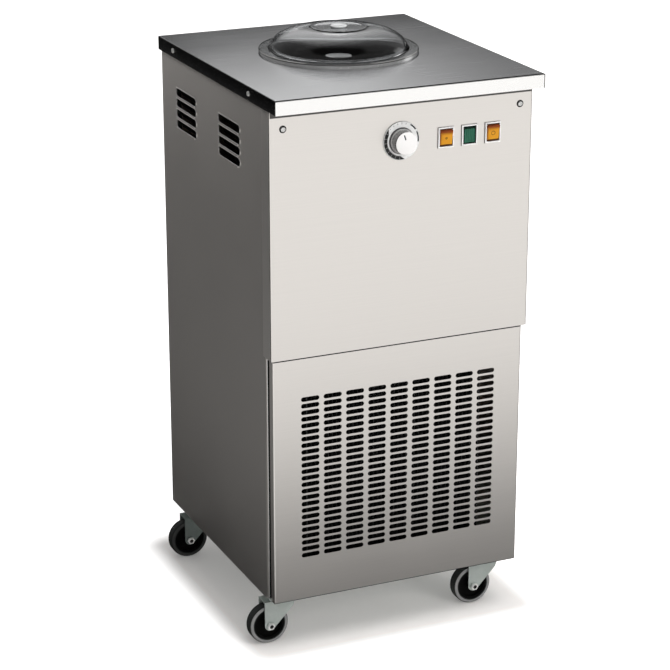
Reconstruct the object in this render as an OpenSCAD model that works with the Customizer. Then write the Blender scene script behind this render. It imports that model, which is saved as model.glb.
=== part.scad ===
// A floor-standing vertical batch freezer: a stainless cabinet on swivel casters, with a belt-driven
// paddle in a refrigerated bowl under a clear domed lid. Millimetres, +Z up, the floor at z = 0, the
// front towards -Y, and the origin on the floor under the middle of the top plate.

/* [Cabinet] */
// Width of the top plate
top_w = 500; // [480:1:560]
// Depth of the top plate
top_d = 560; // [550:1:640]
// Height from the cabinet's underside to the top surface
cabinet_h = 925; // [900:1:1000]
// Thickness of the panel sheet
sheet = 1.5; // [1:0.1:2]
// Height of the top plate's folded lip
lip_h = 25; // [20:1:35]
// Bend radius of the folded edges
bend_r = 2.5; // [2.2:0.1:4]
// How far the lip stands in front of the upper panel
front_overhang = 37; // [34:1:50]
// How far the lip stands outside each side panel
side_overhang = 5.5; // [5:0.1:9]
// Gap between panels that slide over each other
fit_gap = 0.5; // [0.3:0.1:0.8]
// Thickness of the base plate
base_t = 3; // [2:0.5:5]
// Thickness of the drive deck
deck_t = 3; // [2:0.5:5]
// Height of the deck's underside above the cabinet's underside
deck_h = 647; // [640:1:655]
// Width of the frame's angle bars
angle_w = 25; // [20:1:30]
// Thickness of the frame's angle bars
angle_t = 3; // [2:0.5:4]

/* [Front panels] */
// Height of the seam between the front panels above the cabinet's underside
seam_h = 460; // [440:1:480]
// Depth of the upper panel's side flanges
flange_d = 36; // [30:1:45]
// How far the lower panel stands behind the upper one
panel_step = 8; // [6:0.5:12]
// Depth of the lower panel's folded edges
return_d = 14.5; // [10:0.5:18]
// Gap between the lower panel's folded edge and the side panel
edge_gap = 5; // [3:0.5:8]
// Outer radius of the side panel's front edge
edge_r = 9.5; // [6:0.5:12]
// How far the lower panel's sides stand inside the side panels' faces
lower_inset = 3.5; // [2:0.5:6]
// How far the lower panel reaches up behind the upper one
seam_overlap = 12; // [8:1:20]

/* [Grille and louvres] */
// Length of a grille slot
slot_l = 34.5; // [30:0.5:38]
// Height of a grille slot
slot_h = 8.4; // [6:0.1:9]
// Slots in a row
slot_columns = 9; // [5:2:9]
// Rows of slots
slot_rows = 25; // [10:1:26]
// Distance between columns of slots
column_pitch = 42.75; // [40:0.25:46]
// Distance between rows of slots
row_pitch = 12.3; // [11:0.1:13]
// Depth of the first row below the seam
grille_drop = 80; // [60:1:100]
// Length of a louvre
louvre_l = 102; // [80:1:120]
// Height of a louvre's opening
louvre_h = 16.5; // [12:0.5:17]
// Distance between louvres
louvre_pitch = 19.6; // [18:0.1:24]
// Louvres in a group
louvre_count = 4; // [2:1:6]
// Depth of the first louvre's centre below the top surface
louvre_drop = 88.5; // [70:0.5:120]
// How far a louvre's lip stands proud of the panel
louvre_lip = 2.5; // [1:0.5:4]
// Front end of the front group, behind the middle of the cabinet
louvre_front_y = -108; // [-130:1:-90]
// Front end of the rear group, behind the middle of the cabinet
louvre_rear_y = 102; // [80:1:120]

/* [Bowl and lid] */
// Inner diameter of the bowl
bowl_d = 234; // [210:1:240]
// Wall of the bowl
bowl_t = 1.5; // [1:0.1:2.5]
// Depth of the bowl below the top surface
bowl_depth = 223; // [220:1:226]
// Fillet in the bowl's bottom corner
bowl_fillet = 15; // [8:1:25]
// How far the bowl's axis is behind the middle of the top plate
bowl_y = 28; // [20:1:36]
// Width of the raised ring round the bowl
ring_w = 21.7; // [16:0.1:28]
// Height of the raised ring
ring_h = 3.5; // [2:0.5:6]
// Thickness of the evaporator jacket
jacket_t = 11.2; // [8:0.1:14]
// Thickness of the insulation
foam_t = 29.6; // [20:0.1:32]
// How far the lid's flange stands over the raised ring
lid_overhang = 2.5; // [1:0.5:5]
// Width of the lid's flange outside the dome
lid_flange_w = 18; // [14:0.5:24]
// Rise of the dome above the flange
dome_rise = 39; // [30:1:60]
// Diameter of the dome's flat top
dome_top_d = 100; // [80:1:120]
// Thickness of the lid
lid_t = 3; // [2:0.5:4]
// Diameter of the lid's knob
lid_knob_d = 30; // [20:1:40]
// Height of the lid's knob
lid_knob_h = 4; // [3:0.5:12]
// Gap between a piece that lifts or turns and what it rests on
rest_gap = 0.3; // [0.2:0.05:0.5]

/* [Paddle and drive] */
// Diameter of the spindle shaft
shaft_d = 25; // [20:1:28]
// Radial clearance of a shaft in its bearing
run_gap = 0.05; // [0.02:0.01:0.08]
// Diameter of the paddle's hub
hub_d = 40; // [36:1:46]
// Height of the paddle's frame
paddle_h = 180; // [120:1:185]
// Width of the paddle's bars
bar_w = 14; // [10:1:18]
// Thickness of the paddle's bars
bar_t = 10; // [8:1:14]
// Width of the scraper blades
scraper_w = 11; // [8:0.5:14]
// Gap between the scraper blades and the bowl
scraper_gap = 0.5; // [0.4:0.1:1]
// Diameter of the hub nut
nut_d = 49; // [48:1:54]
// Depth of the hub nut's top below the top surface
nut_drop = 8; // [6:1:14]
// Outer diameter of the spindle bearings
bearing_d = 52; // [48:1:56]
// Height of a spindle bearing
bearing_h = 15; // [12:1:16]
// Diameter of the drive pulley
pulley_d = 220; // [180:2:230]
// Diameter of the motor pulley
pinion_d = 50; // [44:2:60]
// Height of the pulleys' rims
rim_h = 20; // [16:1:24]
// Height of the belt
belt_h = 10; // [8:0.5:12]
// Radial depth of the belt
belt_t = 7.5; // [6:0.5:8]
// Diameter of the drive motor
motor_d = 104; // [90:1:108]
// Length of the drive motor
motor_l = 190; // [150:1:220]
// Diameter of the motor's shaft
motor_shaft_d = 14; // [12:1:18]
// Gap between the drive motor and the insulation
motor_gap = 10; // [6:1:14]
// Direction of the motor from the bowl's axis, from straight to the left towards the front
motor_angle = 46.5; // [40:0.5:52]

/* [Cooling] */
// Diameter of the compressor's can
can_d = 170; // [150:2:180]
// Height of the compressor's can
can_h = 190; // [160:2:220]
// Wall of the compressor's can
can_t = 9; // [6:1:14]
// Height of the compressor's rubber feet
foot_h = 15; // [10:1:20]
// Width of the condenser
condenser_w = 340; // [300:2:346]
// Height of the condenser above the base plate
condenser_h = 385; // [340:1:400]
// Depth of the condenser
condenser_d = 50; // [40:1:55]
// Distance between the condenser's fins
fin_pitch = 8; // [6:0.5:12]
// Thickness of a fin
fin_t = 0.8; // [0.5:0.1:1.2]
// Diameter of the fan's opening
fan_hole_d = 256; // [220:2:270]
// Diameter of the fan
fan_d = 240; // [200:2:250]
// Blades of the fan
fan_blades = 5; // [3:1:7]
// Diameter of the fan motor
fan_motor_d = 76; // [60:1:90]
// Outer diameter of the refrigerant lines
line_d = 10; // [8:1:12]
// Diameter of the filter drier
drier_d = 26; // [20:1:32]
// Bore of the cable gland
gland_bore_d = 10; // [8:0.5:12]

/* [Controls] */
// Place of the timer to the right of the middle
timer_x = -5; // [-40:1:0]
// Depth of the timer below the top surface
timer_drop = 100; // [95:1:110]
// Diameter of the timer's dial
dial_d = 68; // [60:1:74]
// Thickness of the timer's dial
dial_t = 2; // [1.5:0.5:3]
// Diameter of the timer's knob
knob_d = 40; // [36:1:48]
// Length of the timer's knob
knob_l = 21; // [18:1:28]
// Grooves round the knob
knob_grooves = 30; // [16:1:40]
// Angle of the knob's pointer to the left of upright
pointer_angle = 18; // [0:1:30]
// Place of the first switch to the right of the middle
switch_x = 79.5; // [70:0.5:90]
// Distance between the switches and the lamp
switch_pitch = 45; // [40:0.5:48]
// Depth of the switches below the top surface
switch_drop = 103; // [95:1:110]
// Width of a switch's bezel
bezel_w = 30; // [28:0.5:34]
// Height of a switch's bezel
bezel_h = 36.5; // [34:0.5:40]
// Thickness of a switch's bezel
bezel_t = 3; // [2:0.5:4]
// Width of a switch's window
window_w = 24; // [22:0.5:25]
// Height of a switch's window
window_h = 31; // [29:0.5:32]
// Angle of a rocker to the panel in either position
rocker_tilt = 10; // [6:1:11]

/* [Casters] */
// Height of a caster
caster_h = 98; // [96:1:110]
// Diameter of a wheel
wheel_d = 75; // [70:1:80]
// Width of a wheel
wheel_w = 22; // [18:1:26]
// Thickness of the tyre
tyre_t = 8.5; // [6:0.5:12]
// Distance from the swivel's axis to the wheel's axle
trail = 29; // [24:1:36]
// Distance from the swivel's axis to the side panel's face
caster_side = 39.5; // [36:0.5:50]
// Distance from the front casters' axes to the lower panel's face
caster_front = 54; // [50:1:70]
// Distance from the rear casters' axes to the rear panel's face
caster_rear = 51; // [48:1:70]
// Diameter of the axle bolts
axle_d = 8; // [6:1:10]
// Thickness of the fork's steel
fork_t = 2.5; // [2:0.5:3]
// Length and width of a caster's top plate
caster_plate = 70; // [64:1:76]

/* [Hidden] */
$fn = 64;

// A cut runs this far past the face that it opens
past = 1;
steel = "#cfccc7";
side_steel = "#8b8883";
dark = "#2b2b2b";
zinc = "#aeb3b0";
white = "#f2f1ee";
copper = "#b8744a";

// Faces of the cabinet
base_z = caster_h;
base_top = base_z + base_t;
top_z = base_z + cabinet_h;
plate_under = top_z - sheet;
panel_top = plate_under - fit_gap;
seam_z = base_z + seam_h;
deck_z = base_z + deck_h;
deck_top = deck_z + deck_t;
side_x = top_w / 2 - side_overhang;
front_y = -top_d / 2 + front_overhang;
front_in = front_y + sheet;
lower_y = front_y + panel_step;
rear_y = top_d / 2 - sheet - fit_gap;
rear_in = rear_y - sheet;
return_y = lower_y + return_d;
side_front = return_y + edge_gap;

// Frame of angle bars inside the panels
post_x = side_x - edge_r;
post_front = side_front + sheet;
side_fold = 14;
bend_tail = 5;
louvre_in = 10;
louvre_t = 1.2;
screw_inset = 22.5;
screw_x = side_x - screw_inset;
screw_drop = 58;
screw_z = top_z - screw_drop;
screw_r = 2.5;
screw_head_r = 4.5;
screw_head_h = 2.5;
screw_len = 12;
tab_h = 20;
washer_t = 2;
washer_reach = 2;
lip_screw_in = 4;
lip_screw_front = 117.6;
lip_screw_rear = 78.4;
rear_screw_low = 30;
rear_screw_high = 60;

// Bowl, jacket and insulation, from the inside out
bowl_r = bowl_d / 2;
bowl_out = bowl_r + bowl_t;
bowl_floor = top_z - bowl_depth;
bowl_under = bowl_floor - bowl_t;
rim_z = top_z + ring_h;
jacket_in = bowl_out + rest_gap;
jacket_out = jacket_in + jacket_t;
foam_in = jacket_out + rest_gap;
foam_out = foam_in + foam_t;
mouth_r = bowl_out + 2 * fit_gap;
jacket_drop = 25;
foam_drop = 8;
ring_r = bowl_out + rest_gap + ring_w;
lid_r = ring_r + lid_overhang;
dome_r = lid_r - lid_flange_w;

// Spindle housing between the deck and the bowl
bearing_r = bearing_d / 2;
bearing_wall = 8;
bearing_lip = 4;
bearing_lift = 2;
housing_r = bearing_r + bearing_wall;
housing_reach = 28;
housing_flange_r = housing_r + housing_reach;
housing_flange_t = 8;
neck_reach = 14;
neck_r = housing_r + neck_reach;
neck_t = 8;
shoulder_r = bearing_r - bearing_lip;
shaft_r = shaft_d / 2;
lower_bearing_z = deck_top + bearing_lift;
seal_space = 10;
upper_bearing_z = bowl_under - seal_space - bearing_h;
foam_lift = 12;
foam_bottom = deck_top + housing_flange_t + foam_lift;
seal_z = upper_bearing_z + bearing_h + rest_gap;
seal_stand = 3;

// Paddle on the spindle
paddle_lift = 6;
paddle_z = bowl_floor + paddle_lift;
paddle_top = paddle_z + paddle_h;
scraper_tip = bowl_r - scraper_gap;
paddle_r = scraper_tip - scraper_w;
nut_top = top_z - nut_drop;
nut_h = 20;
hub_top = nut_top - nut_h;
thread_l = 12;
arm_start = 2;
nut_edge = 3;
nut_step = 1;
shaft_drop = 45;
shaft_bottom = deck_z - shaft_drop;

// Belt drive under the deck
belt_drop = 25;
belt_z = deck_z - belt_drop;
motor_shaft_r = motor_shaft_d / 2;
motor_flange_t = 8;
motor_rib = 3;
motor_ribs = 16;
rib_half = 1;
rib_stop = 20;
terminal_w = 50;
terminal_h = 60;
terminal_out = 22;
terminal_rise = 50;
motor_shaft_in = 20;
motor_bore_end = 5;
motor_shaft_out = 4;
motor_flange_w = motor_d + 2 * motor_rib;
motor_reach = foam_out + motor_gap + motor_d / 2 + motor_rib;
motor_at = [-motor_reach * cos(motor_angle), bowl_y - motor_reach * sin(motor_angle)];
groove_gap = 0.5;
pulley_web_t = 8;
pulley_hub_wall = 14;
pulley_rim_wall = 8;
pulley_step = 1;
pulley_r = pulley_d / 2;
pinion_r = pinion_d / 2;

// Condenser, fan and compressor on the base plate
grille_gap = 6;
condenser_y = return_y + grille_gap;
condenser_back = condenser_y + condenser_d;
condenser_lift = 50;
condenser_z = base_top + condenser_lift;
end_t = 2;
shroud_d = 50;
shroud_t = 1.5;
shroud_y = condenser_back + shroud_d;
fan_z = (condenser_z + base_top + condenser_h) / 2;
fan_gap = 3;
fan_y = shroud_y + fan_gap;
fan_hub_h = 22;
fan_shaft_r = 4;
fan_shaft_end = 12;
fan_bore_end = 10;
blade_root = 4;
fan_motor_l = 45;
fan_motor_y = fan_y + fan_hub_h + 2 * fan_gap;
cage_y = fan_motor_y + fan_motor_l;
cage_w = 14;
can_r = can_d / 2;
can_side = 64;
can_rear = 41.5;
can_at = [-side_x + can_side + can_r, rear_in - can_rear - can_r];
can_z = base_top + foot_h;
foot_plate = 3;
foot_dx = 70;
foot_dy = 62;
foot_r = 12;
foot_edge = 4;
pad_reach = 10;
line_r = line_d / 2;
bead_w = 0.4;
line_gap = 20;
line_x = post_x - angle_w - line_gap + line_r;
liquid_y = bowl_y - line_gap;
suction_y = bowl_y + line_gap;
liquid_rise = 40;
liquid_z = bowl_floor + liquid_rise;
suction_rise = 160;
suction_z = bowl_floor + suction_rise;
drier_rise = 200;
drier_z = base_top + drier_rise;
drier_l = 110;
stub_l = 6;
low_rise = 30;
suction_drop = 60;
gas_gap = 40;
stub_x = foam_out + stub_l;

// Cable gland in the rear panel
gland_x = 150;
gland_rise = 62;
gland_at = [gland_x, base_z + gland_rise];
gland_wall = 5;
gland_thread_r = gland_bore_d / 2 + gland_wall;
gland_nose_step = 1;
gland_hex_step = 4;
gland_nose_r = gland_thread_r + gland_nose_step;
gland_hex_r = gland_thread_r + gland_hex_step;
gland_hex_t = 6;
gland_nose_l = 14;
gland_in = 10;

// Timer, switches and lamp on the upper panel
timer_z = top_z - timer_drop;
switch_z = top_z - switch_drop;
timer_pin_r = 3;
pin_gap = 2;
timer_box = 50;
timer_depth = 40;
knob_r = knob_d / 2;
knob_y = front_y - dial_t - rest_gap;
knob_face_t = 3;
knob_skirt_t = 3;
knob_skirt = 2;
grip_step = 0.8;
grip_groove_r = 1.5;
grip_groove_out = 0.7;
pointer_in = 6.3;
pointer_end = 4.2;
housing_wall = 1.2;
housing_depth = 28;
cavity_depth = 18;
rocker_side = 0.4;
rocker_end = 1.75;
rocker_w = window_w - 2 * rocker_side;
rocker_h = window_h - 2 * rocker_end;
rocker_front = 4;
rocker_back = 9;
pivot_depth = 2;
pivot_r = 1.5;
lens_rib = 1;
lens_ribs = 6;
lens_rib_h = 1;
lens_sink = 0.5;
lens_edge = 2;
box_wall = 1;
box_depth = 62;
box_margin = 12;
box_side = 8;
box_over = 3;
box_lo = [timer_x - timer_box / 2 - box_margin, switch_z - timer_box];
box_hi = [switch_x + 2 * switch_pitch + bezel_w / 2 + box_side, timer_z + timer_box / 2 + box_over];

// Casters
caster_x = side_x - caster_side;
caster_front_y = lower_y + caster_front;
caster_rear_y = rear_y - caster_rear;
wheel_r = wheel_d / 2;
axle_r = axle_d / 2;
tyre_r = wheel_r - tyre_t;
plate_t = 3;
race_r = 26;
race_h = 11;
king_r = 6;
king_head_r = 9;
king_head_h = 2.5;
crown_z = base_z - plate_t - race_h - rest_gap - fork_t;
fork_gap = 2;
fork_in = wheel_w / 2 + fork_gap;
fork_nose_r = 10;
fork_back_x = 20;
fork_back_in = 4;
fork_back_drop = 14;
fork_nose_end = -40;
crown_in = 4;
axle_hex_wall = 2.8;
hub_boss_wall = 6;
hub_boss_out = 1;
hub_rim_wall = 4;
hub_rim_in = 1;
hub_web_t = 6;
bolt_r = 4;
bolt_hex_wall = 2.4;
bolt_inset = 9;
bolt_head_h = 5;

function around(angle) = [cos(angle), sin(angle)];

function arc(centre, r, from, to, steps) =
    [for (i = [0:steps]) centre + r * around(from + (to - from) * i / steps)];

// Box between two opposite corners
module block(lo, hi) {
    translate(lo) cube(hi - lo);
}

// Upright ring between two heights
module ring(z0, z1, r_out, r_in) {
    translate([0, 0, z0])
        difference() {
            cylinder(h = z1 - z0, r = r_out);
            translate([0, 0, -past]) cylinder(h = z1 - z0 + 2 * past, r = r_in);
        }
}

// Upright disc between two heights
module disc(z0, z1, r) {
    translate([0, 0, z0]) cylinder(h = z1 - z0, r = r);
}

// Outline drawn in X and Z, thickened from y0 to y1
module between_y(y0, y1) {
    translate([0, y1, 0]) rotate([90, 0, 0]) linear_extrude(y1 - y0) children();
}

// Outline drawn in Y and Z, thickened from x0 to x1
module between_x(x0, x1) {
    translate([x0, 0, 0]) rotate([90, 0, 90]) linear_extrude(x1 - x0) children();
}

// Outline drawn in X and Y, thickened from z0 to z1
module between_z(z0, z1) {
    translate([0, 0, z0]) linear_extrude(z1 - z0) children();
}

// The children on the left, and mirrored on the right
module left_and_right() {
    children();
    mirror([1, 0, 0]) children();
}

// Rod along Y from y0 to y1 at a place in X and Z
module rod_y(at, y0, y1, r, sides = 64) {
    translate([at[0], y1, at[1]]) rotate([90, 0, 0]) cylinder(h = y1 - y0, r = r, $fn = sides);
}

// Rod along X from x0 to x1 at a place in Y and Z
module rod_x(at, x0, x1, r) {
    translate([x0, at[0], at[1]]) rotate([0, 90, 0]) cylinder(h = x1 - x0, r = r);
}

// Pipe along a list of corner points, with a bead over each corner
module pipe(points, r) {
    for (i = [0:len(points) - 2]) {
        run = points[i + 1] - points[i];
        translate(points[i])
            rotate([0, acos(run[2] / norm(run)), atan2(run[1], run[0])])
                cylinder(h = norm(run), r = r, $fn = 24);
    }
    for (i = [1:len(points) - 2])
        translate(points[i]) sphere(r = r + bead_w, $fn = 24);
}

// Flat slot with round ends, centred
module slot_outline(length, height) {
    straight = length - height;
    square([straight, height], center = true);
    for (side = [-1, 1])
        translate([side * straight / 2, 0]) circle(d = height, $fn = 32);
}

// Plan of a panel folded back at both sides, its face on the X axis
module channel_outline(width, depth, t, r) {
    difference() {
        front_rounded(width, depth, r);
        translate([0, t]) front_rounded(width - 2 * t, depth, r - t);
    }
}

// Rectangle in plan with its two front corners rounded
module front_rounded(width, depth, r) {
    translate([-width / 2, r]) square([width, depth - r]);
    translate([-width / 2 + r, 0]) square([width - 2 * r, r]);
    for (side = [-1, 1])
        translate([side * (width / 2 - r), r]) circle(r = r, $fn = 32);
}

module base_plate() {
    color(zinc)
        difference() {
            block([-side_x + sheet, return_y, base_z], [side_x - sheet, rear_in, base_top]);
            at_bolts() disc(base_z - past, base_top + past, bolt_r + fit_gap);
        }
}

// One upright angle bar, its corner outwards at the post's place
module post(y_outer, inwards) {
    block([-post_x, min(y_outer, y_outer + inwards * angle_w), base_top],
        [-post_x + angle_t, max(y_outer, y_outer + inwards * angle_w), plate_under]);
    block([-post_x, min(y_outer, y_outer + inwards * angle_t), base_top],
        [-post_x + angle_w, max(y_outer, y_outer + inwards * angle_t), plate_under]);
}

module inner_frame() {
    tie_top = plate_under;
    tie_low = plate_under - angle_w;
    color(zinc)
        difference() {
            union() {
                left_and_right() {
                    post(post_front, 1);
                    post(rear_in, -1);
                    block([-post_x, post_front, deck_z - angle_w], [-post_x + angle_t, rear_in, deck_z]);
                    block([-post_x, post_front, deck_z - angle_t], [-post_x + angle_w, rear_in, deck_z]);
                    block([-post_x, post_front, tie_low], [-post_x + angle_t, rear_in, tie_top]);
                    block([-post_x, front_in, screw_z - tab_h / 2],
                        [-post_x + angle_w, post_front, screw_z + tab_h / 2]);
                }
                block([-post_x, post_front, tie_low], [post_x, post_front + angle_t, tie_top]);
                block([-post_x, rear_in - angle_t, tie_low], [post_x, rear_in, tie_top]);
            }
            at_front_screws()
                rod_y([0, 0], front_in - past, post_front, screw_r + run_gap);
            at_rear_screws()
                rod_y([0, 0], rear_in - screw_len - past, rear_in + past, screw_r + run_gap);
        }
}

// One louvre's opening, drawn in Y and Z with its front end at the origin
module louvre_outline() {
    translate([louvre_h / 2, -louvre_h / 2]) square([louvre_l - louvre_h / 2, louvre_h]);
    translate([louvre_h / 2, 0]) circle(d = louvre_h, $fn = 32);
}

// Places of the louvres, with the front end of each at the origin of its children
module at_louvres() {
    for (y = [louvre_front_y, louvre_rear_y], i = [0:louvre_count - 1])
        translate([0, y, top_z - louvre_drop - i * louvre_pitch]) children();
}

// Slanted blade behind a louvre, and the lip under it
module louvre_blade() {
    upper = louvre_h / 2;
    inner = -side_x + sheet;
    between_y(0, louvre_l)
        polygon([[inner, upper], [inner, upper + 2 * louvre_t], [inner + louvre_in, louvre_t - upper],
            [inner + louvre_in, -upper]]);
    block([-side_x - louvre_lip, louvre_h / 2, -upper - louvre_t], [-side_x, louvre_l, -upper]);
}

module left_side_panel() {
    bend_y = side_front + edge_r;
    tab_room = tab_h / 2 + fit_gap;
    color(side_steel) {
        difference() {
            union() {
                block([-side_x, bend_y, base_z], [-side_x + sheet, rear_y, panel_top]);
                between_z(base_top + fit_gap, panel_top)
                    translate([0, side_front])
                        intersection() {
                            channel_outline(2 * side_x, edge_r + 2 * bend_tail, sheet, edge_r);
                            translate([-side_x - past, -past])
                                square([edge_r + side_fold + past, edge_r + bend_tail + past]);
                        }
            }
            at_louvres() between_x(-side_x - past, -side_x + sheet + past) louvre_outline();
            at_lip_screws() rod_x([0, 0], -side_x - past, -side_x + sheet + past, screw_r + run_gap);
            block([-post_x - fit_gap, side_front - past, screw_z - tab_room],
                [-post_x + side_fold + past, bend_y, screw_z + tab_room]);
        }
        at_louvres() louvre_blade();
    }
}

module right_side_panel() {
    mirror([1, 0, 0]) left_side_panel();
}

module rear_panel() {
    vent_l = 120;
    vent_h = 8;
    vent_pitch = 16;
    vent_rows = 14;
    vent_x = 85;
    vent_rise = 170;
    vent_z = base_z + vent_rise;
    half = side_x - sheet - fit_gap / 2;
    color(side_steel)
        difference() {
            block([-half, rear_in, base_z], [half, rear_y, panel_top]);
            between_y(rear_in - past, rear_y + past)
                for (side = [-1, 1], i = [0:vent_rows - 1])
                    translate([side * vent_x, vent_z + i * vent_pitch]) slot_outline(vent_l, vent_h);
            rod_y(gland_at, rear_in - past, rear_y + past, gland_thread_r + run_gap);
            at_rear_screws() rod_y([0, 0], rear_in - past, rear_y + past, screw_r + run_gap);
        }
}

module upper_front_panel() {
    width = 2 * (side_x + fit_gap + sheet);
    return_in = panel_step - sheet - fit_gap;
    color(steel)
        difference() {
            union() {
                between_z(seam_z, panel_top)
                    translate([0, front_y]) channel_outline(width, flange_d, sheet, bend_r);
                block([-width / 2 + bend_r, front_y + sheet / 2, seam_z],
                    [width / 2 - bend_r, front_in + return_in, seam_z + sheet]);
            }
            rod_y([timer_x, timer_z], front_y - past, front_in + past, timer_pin_r + pin_gap);
            at_switches()
                block([-window_w / 2 - housing_wall - rest_gap, front_y - past,
                        -window_h / 2 - housing_wall - rest_gap],
                    [window_w / 2 + housing_wall + rest_gap, front_in + past,
                        window_h / 2 + housing_wall + rest_gap]);
            at_front_screws() rod_y([0, 0], front_y - past, front_in + past, screw_r + run_gap);
        }
}

module lower_grille_panel() {
    width = 2 * (side_x - lower_inset);
    first_column = -(slot_columns - 1) / 2 * column_pitch;
    first_row = seam_z - grille_drop;
    color(steel)
        difference() {
            union() {
                between_z(base_z, seam_z + seam_overlap)
                    translate([0, lower_y]) channel_outline(width, return_d, sheet, bend_r);
                block([-width / 2 + bend_r, lower_y + sheet / 2, base_z],
                    [width / 2 - bend_r, return_y, base_z + sheet]);
            }
            between_y(lower_y - past, lower_y + sheet + past)
                for (column = [0:slot_columns - 1], row = [0:slot_rows - 1])
                    translate([first_column + column * column_pitch, first_row - row * row_pitch])
                        slot_outline(slot_l, slot_h);
        }
}

// End of a tray in width and height, its top corners rounded
module tray_outline(width, height, r) {
    translate([-width / 2, -height]) square([width, height - r]);
    translate([-width / 2 + r, -r]) square([width - 2 * r, r]);
    for (side = [-1, 1])
        translate([side * (width / 2 - r), -r]) circle(r = r, $fn = 32);
}

module top_plate() {
    color(steel)
        difference() {
            intersection() {
                between_y(-top_d / 2, top_d / 2) translate([0, top_z]) tray_outline(top_w, lip_h, bend_r);
                between_x(-top_w / 2, top_w / 2) translate([0, top_z]) tray_outline(top_d, lip_h, bend_r);
            }
            block([-top_w / 2 + sheet, -top_d / 2 + sheet, top_z - lip_h - past],
                [top_w / 2 - sheet, top_d / 2 - sheet, plate_under]);
            translate([0, bowl_y, 0]) disc(plate_under - past, top_z + past, mouth_r);
            left_and_right()
                at_lip_screws()
                    rod_x([0, 0], -top_w / 2 - past, -top_w / 2 + sheet + past, screw_r + run_gap);
        }
}

module drive_deck() {
    color(zinc)
        difference() {
            block([-post_x + angle_t, post_front + angle_t, deck_z],
                [post_x - angle_t, rear_in - angle_t, deck_top]);
            translate([0, bowl_y, 0]) disc(deck_z - past, deck_top + past, shoulder_r);
            translate(motor_at) disc(deck_z - past, deck_top + past, 2 * motor_shaft_r);
            for (y = [liquid_y, suction_y])
                translate([line_x, y, 0]) disc(deck_z - past, deck_top + past, line_r + fit_gap);
        }
}

module bowl_ring() {
    color(steel) translate([0, bowl_y, 0]) ring(top_z, rim_z, ring_r, bowl_out + rest_gap);
}

module freezing_bowl() {
    outer = bowl_fillet + bowl_t;
    centre = [bowl_r - bowl_fillet, bowl_floor + bowl_fillet];
    color(steel)
        translate([0, bowl_y, 0])
            rotate_extrude()
                polygon(concat([[bearing_r + run_gap, bowl_under]], arc(centre, outer, -90, 0, 6),
                    [[bowl_out, rim_z], [bowl_r, rim_z]], arc(centre, bowl_fillet, 0, -90, 6),
                    [[bearing_r + run_gap, bowl_floor]]));
}

module evaporator_jacket() {
    color(copper)
        translate([0, bowl_y, 0]) {
            ring(bowl_floor + bowl_fillet, top_z - jacket_drop, jacket_out, jacket_in);
            for (stub = [[liquid_y, liquid_z], [suction_y, suction_z]])
                rod_x([stub[0] - bowl_y, stub[1]], jacket_out - jacket_t / 2, stub_x, line_r);
        }
}

module insulation_shell() {
    foam_top = plate_under - foam_drop;
    foam_floor = bowl_under - rest_gap;
    under_neck = bowl_under - neck_t - rest_gap;
    tube_hole = housing_r + rest_gap;
    neck_hole = neck_r + rest_gap;
    color("#e6dcb0")
        translate([0, bowl_y, 0])
            difference() {
                rotate_extrude()
                    polygon([[tube_hole, foam_bottom], [foam_out, foam_bottom], [foam_out, foam_top],
                        [foam_in, foam_top], [foam_in, foam_floor], [neck_hole, foam_floor],
                        [neck_hole, under_neck], [tube_hole, under_neck]]);
                for (stub = [[liquid_y, liquid_z], [suction_y, suction_z]])
                    rod_x([stub[0] - bowl_y, stub[1]], 0, foam_out + past, line_r + fit_gap);
            }
}

module spindle_housing() {
    flange_top = deck_top + housing_flange_t;
    neck_z = bowl_under - neck_t;
    shoulder_z = lower_bearing_z + bearing_h;
    color(zinc)
        translate([0, bowl_y, 0])
            rotate_extrude()
                polygon([[bearing_r, deck_top], [housing_flange_r, deck_top], [housing_flange_r, flange_top],
                    [housing_r, flange_top], [housing_r, neck_z], [neck_r, neck_z], [neck_r, bowl_under],
                    [bearing_r, bowl_under], [bearing_r, upper_bearing_z], [shoulder_r, upper_bearing_z],
                    [shoulder_r, shoulder_z], [bearing_r, shoulder_z]]);
}

module spindle_bearings() {
    color("#9a9fa3")
        translate([0, bowl_y, 0])
            for (z = [lower_bearing_z, upper_bearing_z])
                ring(z, z + bearing_h, bearing_r - run_gap, shaft_r + run_gap);
}

module shaft_seal() {
    color(dark)
        translate([0, bowl_y, 0])
            ring(seal_z, bowl_floor + seal_stand, bearing_r - run_gap, shaft_r + run_gap);
}

module spindle_shaft() {
    color(zinc) translate([0, bowl_y, 0]) disc(shaft_bottom, hub_top + thread_l, shaft_r);
}

// Half section of a pulley with a flat groove for the belt
module pulley_section(r, bore) {
    groove_r = r - belt_t - groove_gap;
    groove_h = belt_h / 2 + groove_gap;
    hub_r = min(bore + pulley_hub_wall, groove_r - pulley_step);
    rim_in = max(bore, groove_r - pulley_rim_wall);
    difference() {
        union() {
            translate([bore, -rim_h / 2]) square([hub_r - bore, rim_h]);
            translate([bore, -pulley_web_t / 2]) square([groove_r - bore, pulley_web_t]);
            translate([rim_in, -rim_h / 2]) square([r - rim_in, rim_h]);
        }
        translate([groove_r, -groove_h]) square([r - groove_r + past, 2 * groove_h]);
    }
}

module drive_pulley() {
    color("#8f9295")
        translate([0, bowl_y, belt_z]) rotate_extrude($fn = 96) pulley_section(pulley_r, shaft_r + run_gap);
}

module motor_pulley() {
    color("#8f9295")
        translate([motor_at[0], motor_at[1], belt_z])
            rotate_extrude() pulley_section(pinion_r, motor_shaft_r + run_gap);
}

module drive_belt() {
    color(dark)
        between_z(belt_z - belt_h / 2, belt_z + belt_h / 2)
            difference() {
                hull() {
                    translate([0, bowl_y]) circle(r = pulley_r);
                    translate(motor_at) circle(r = pinion_r, $fn = 32);
                }
                hull() {
                    translate([0, bowl_y]) circle(r = pulley_r - belt_t);
                    translate(motor_at) circle(r = pinion_r - belt_t, $fn = 32);
                }
            }
}

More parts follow.
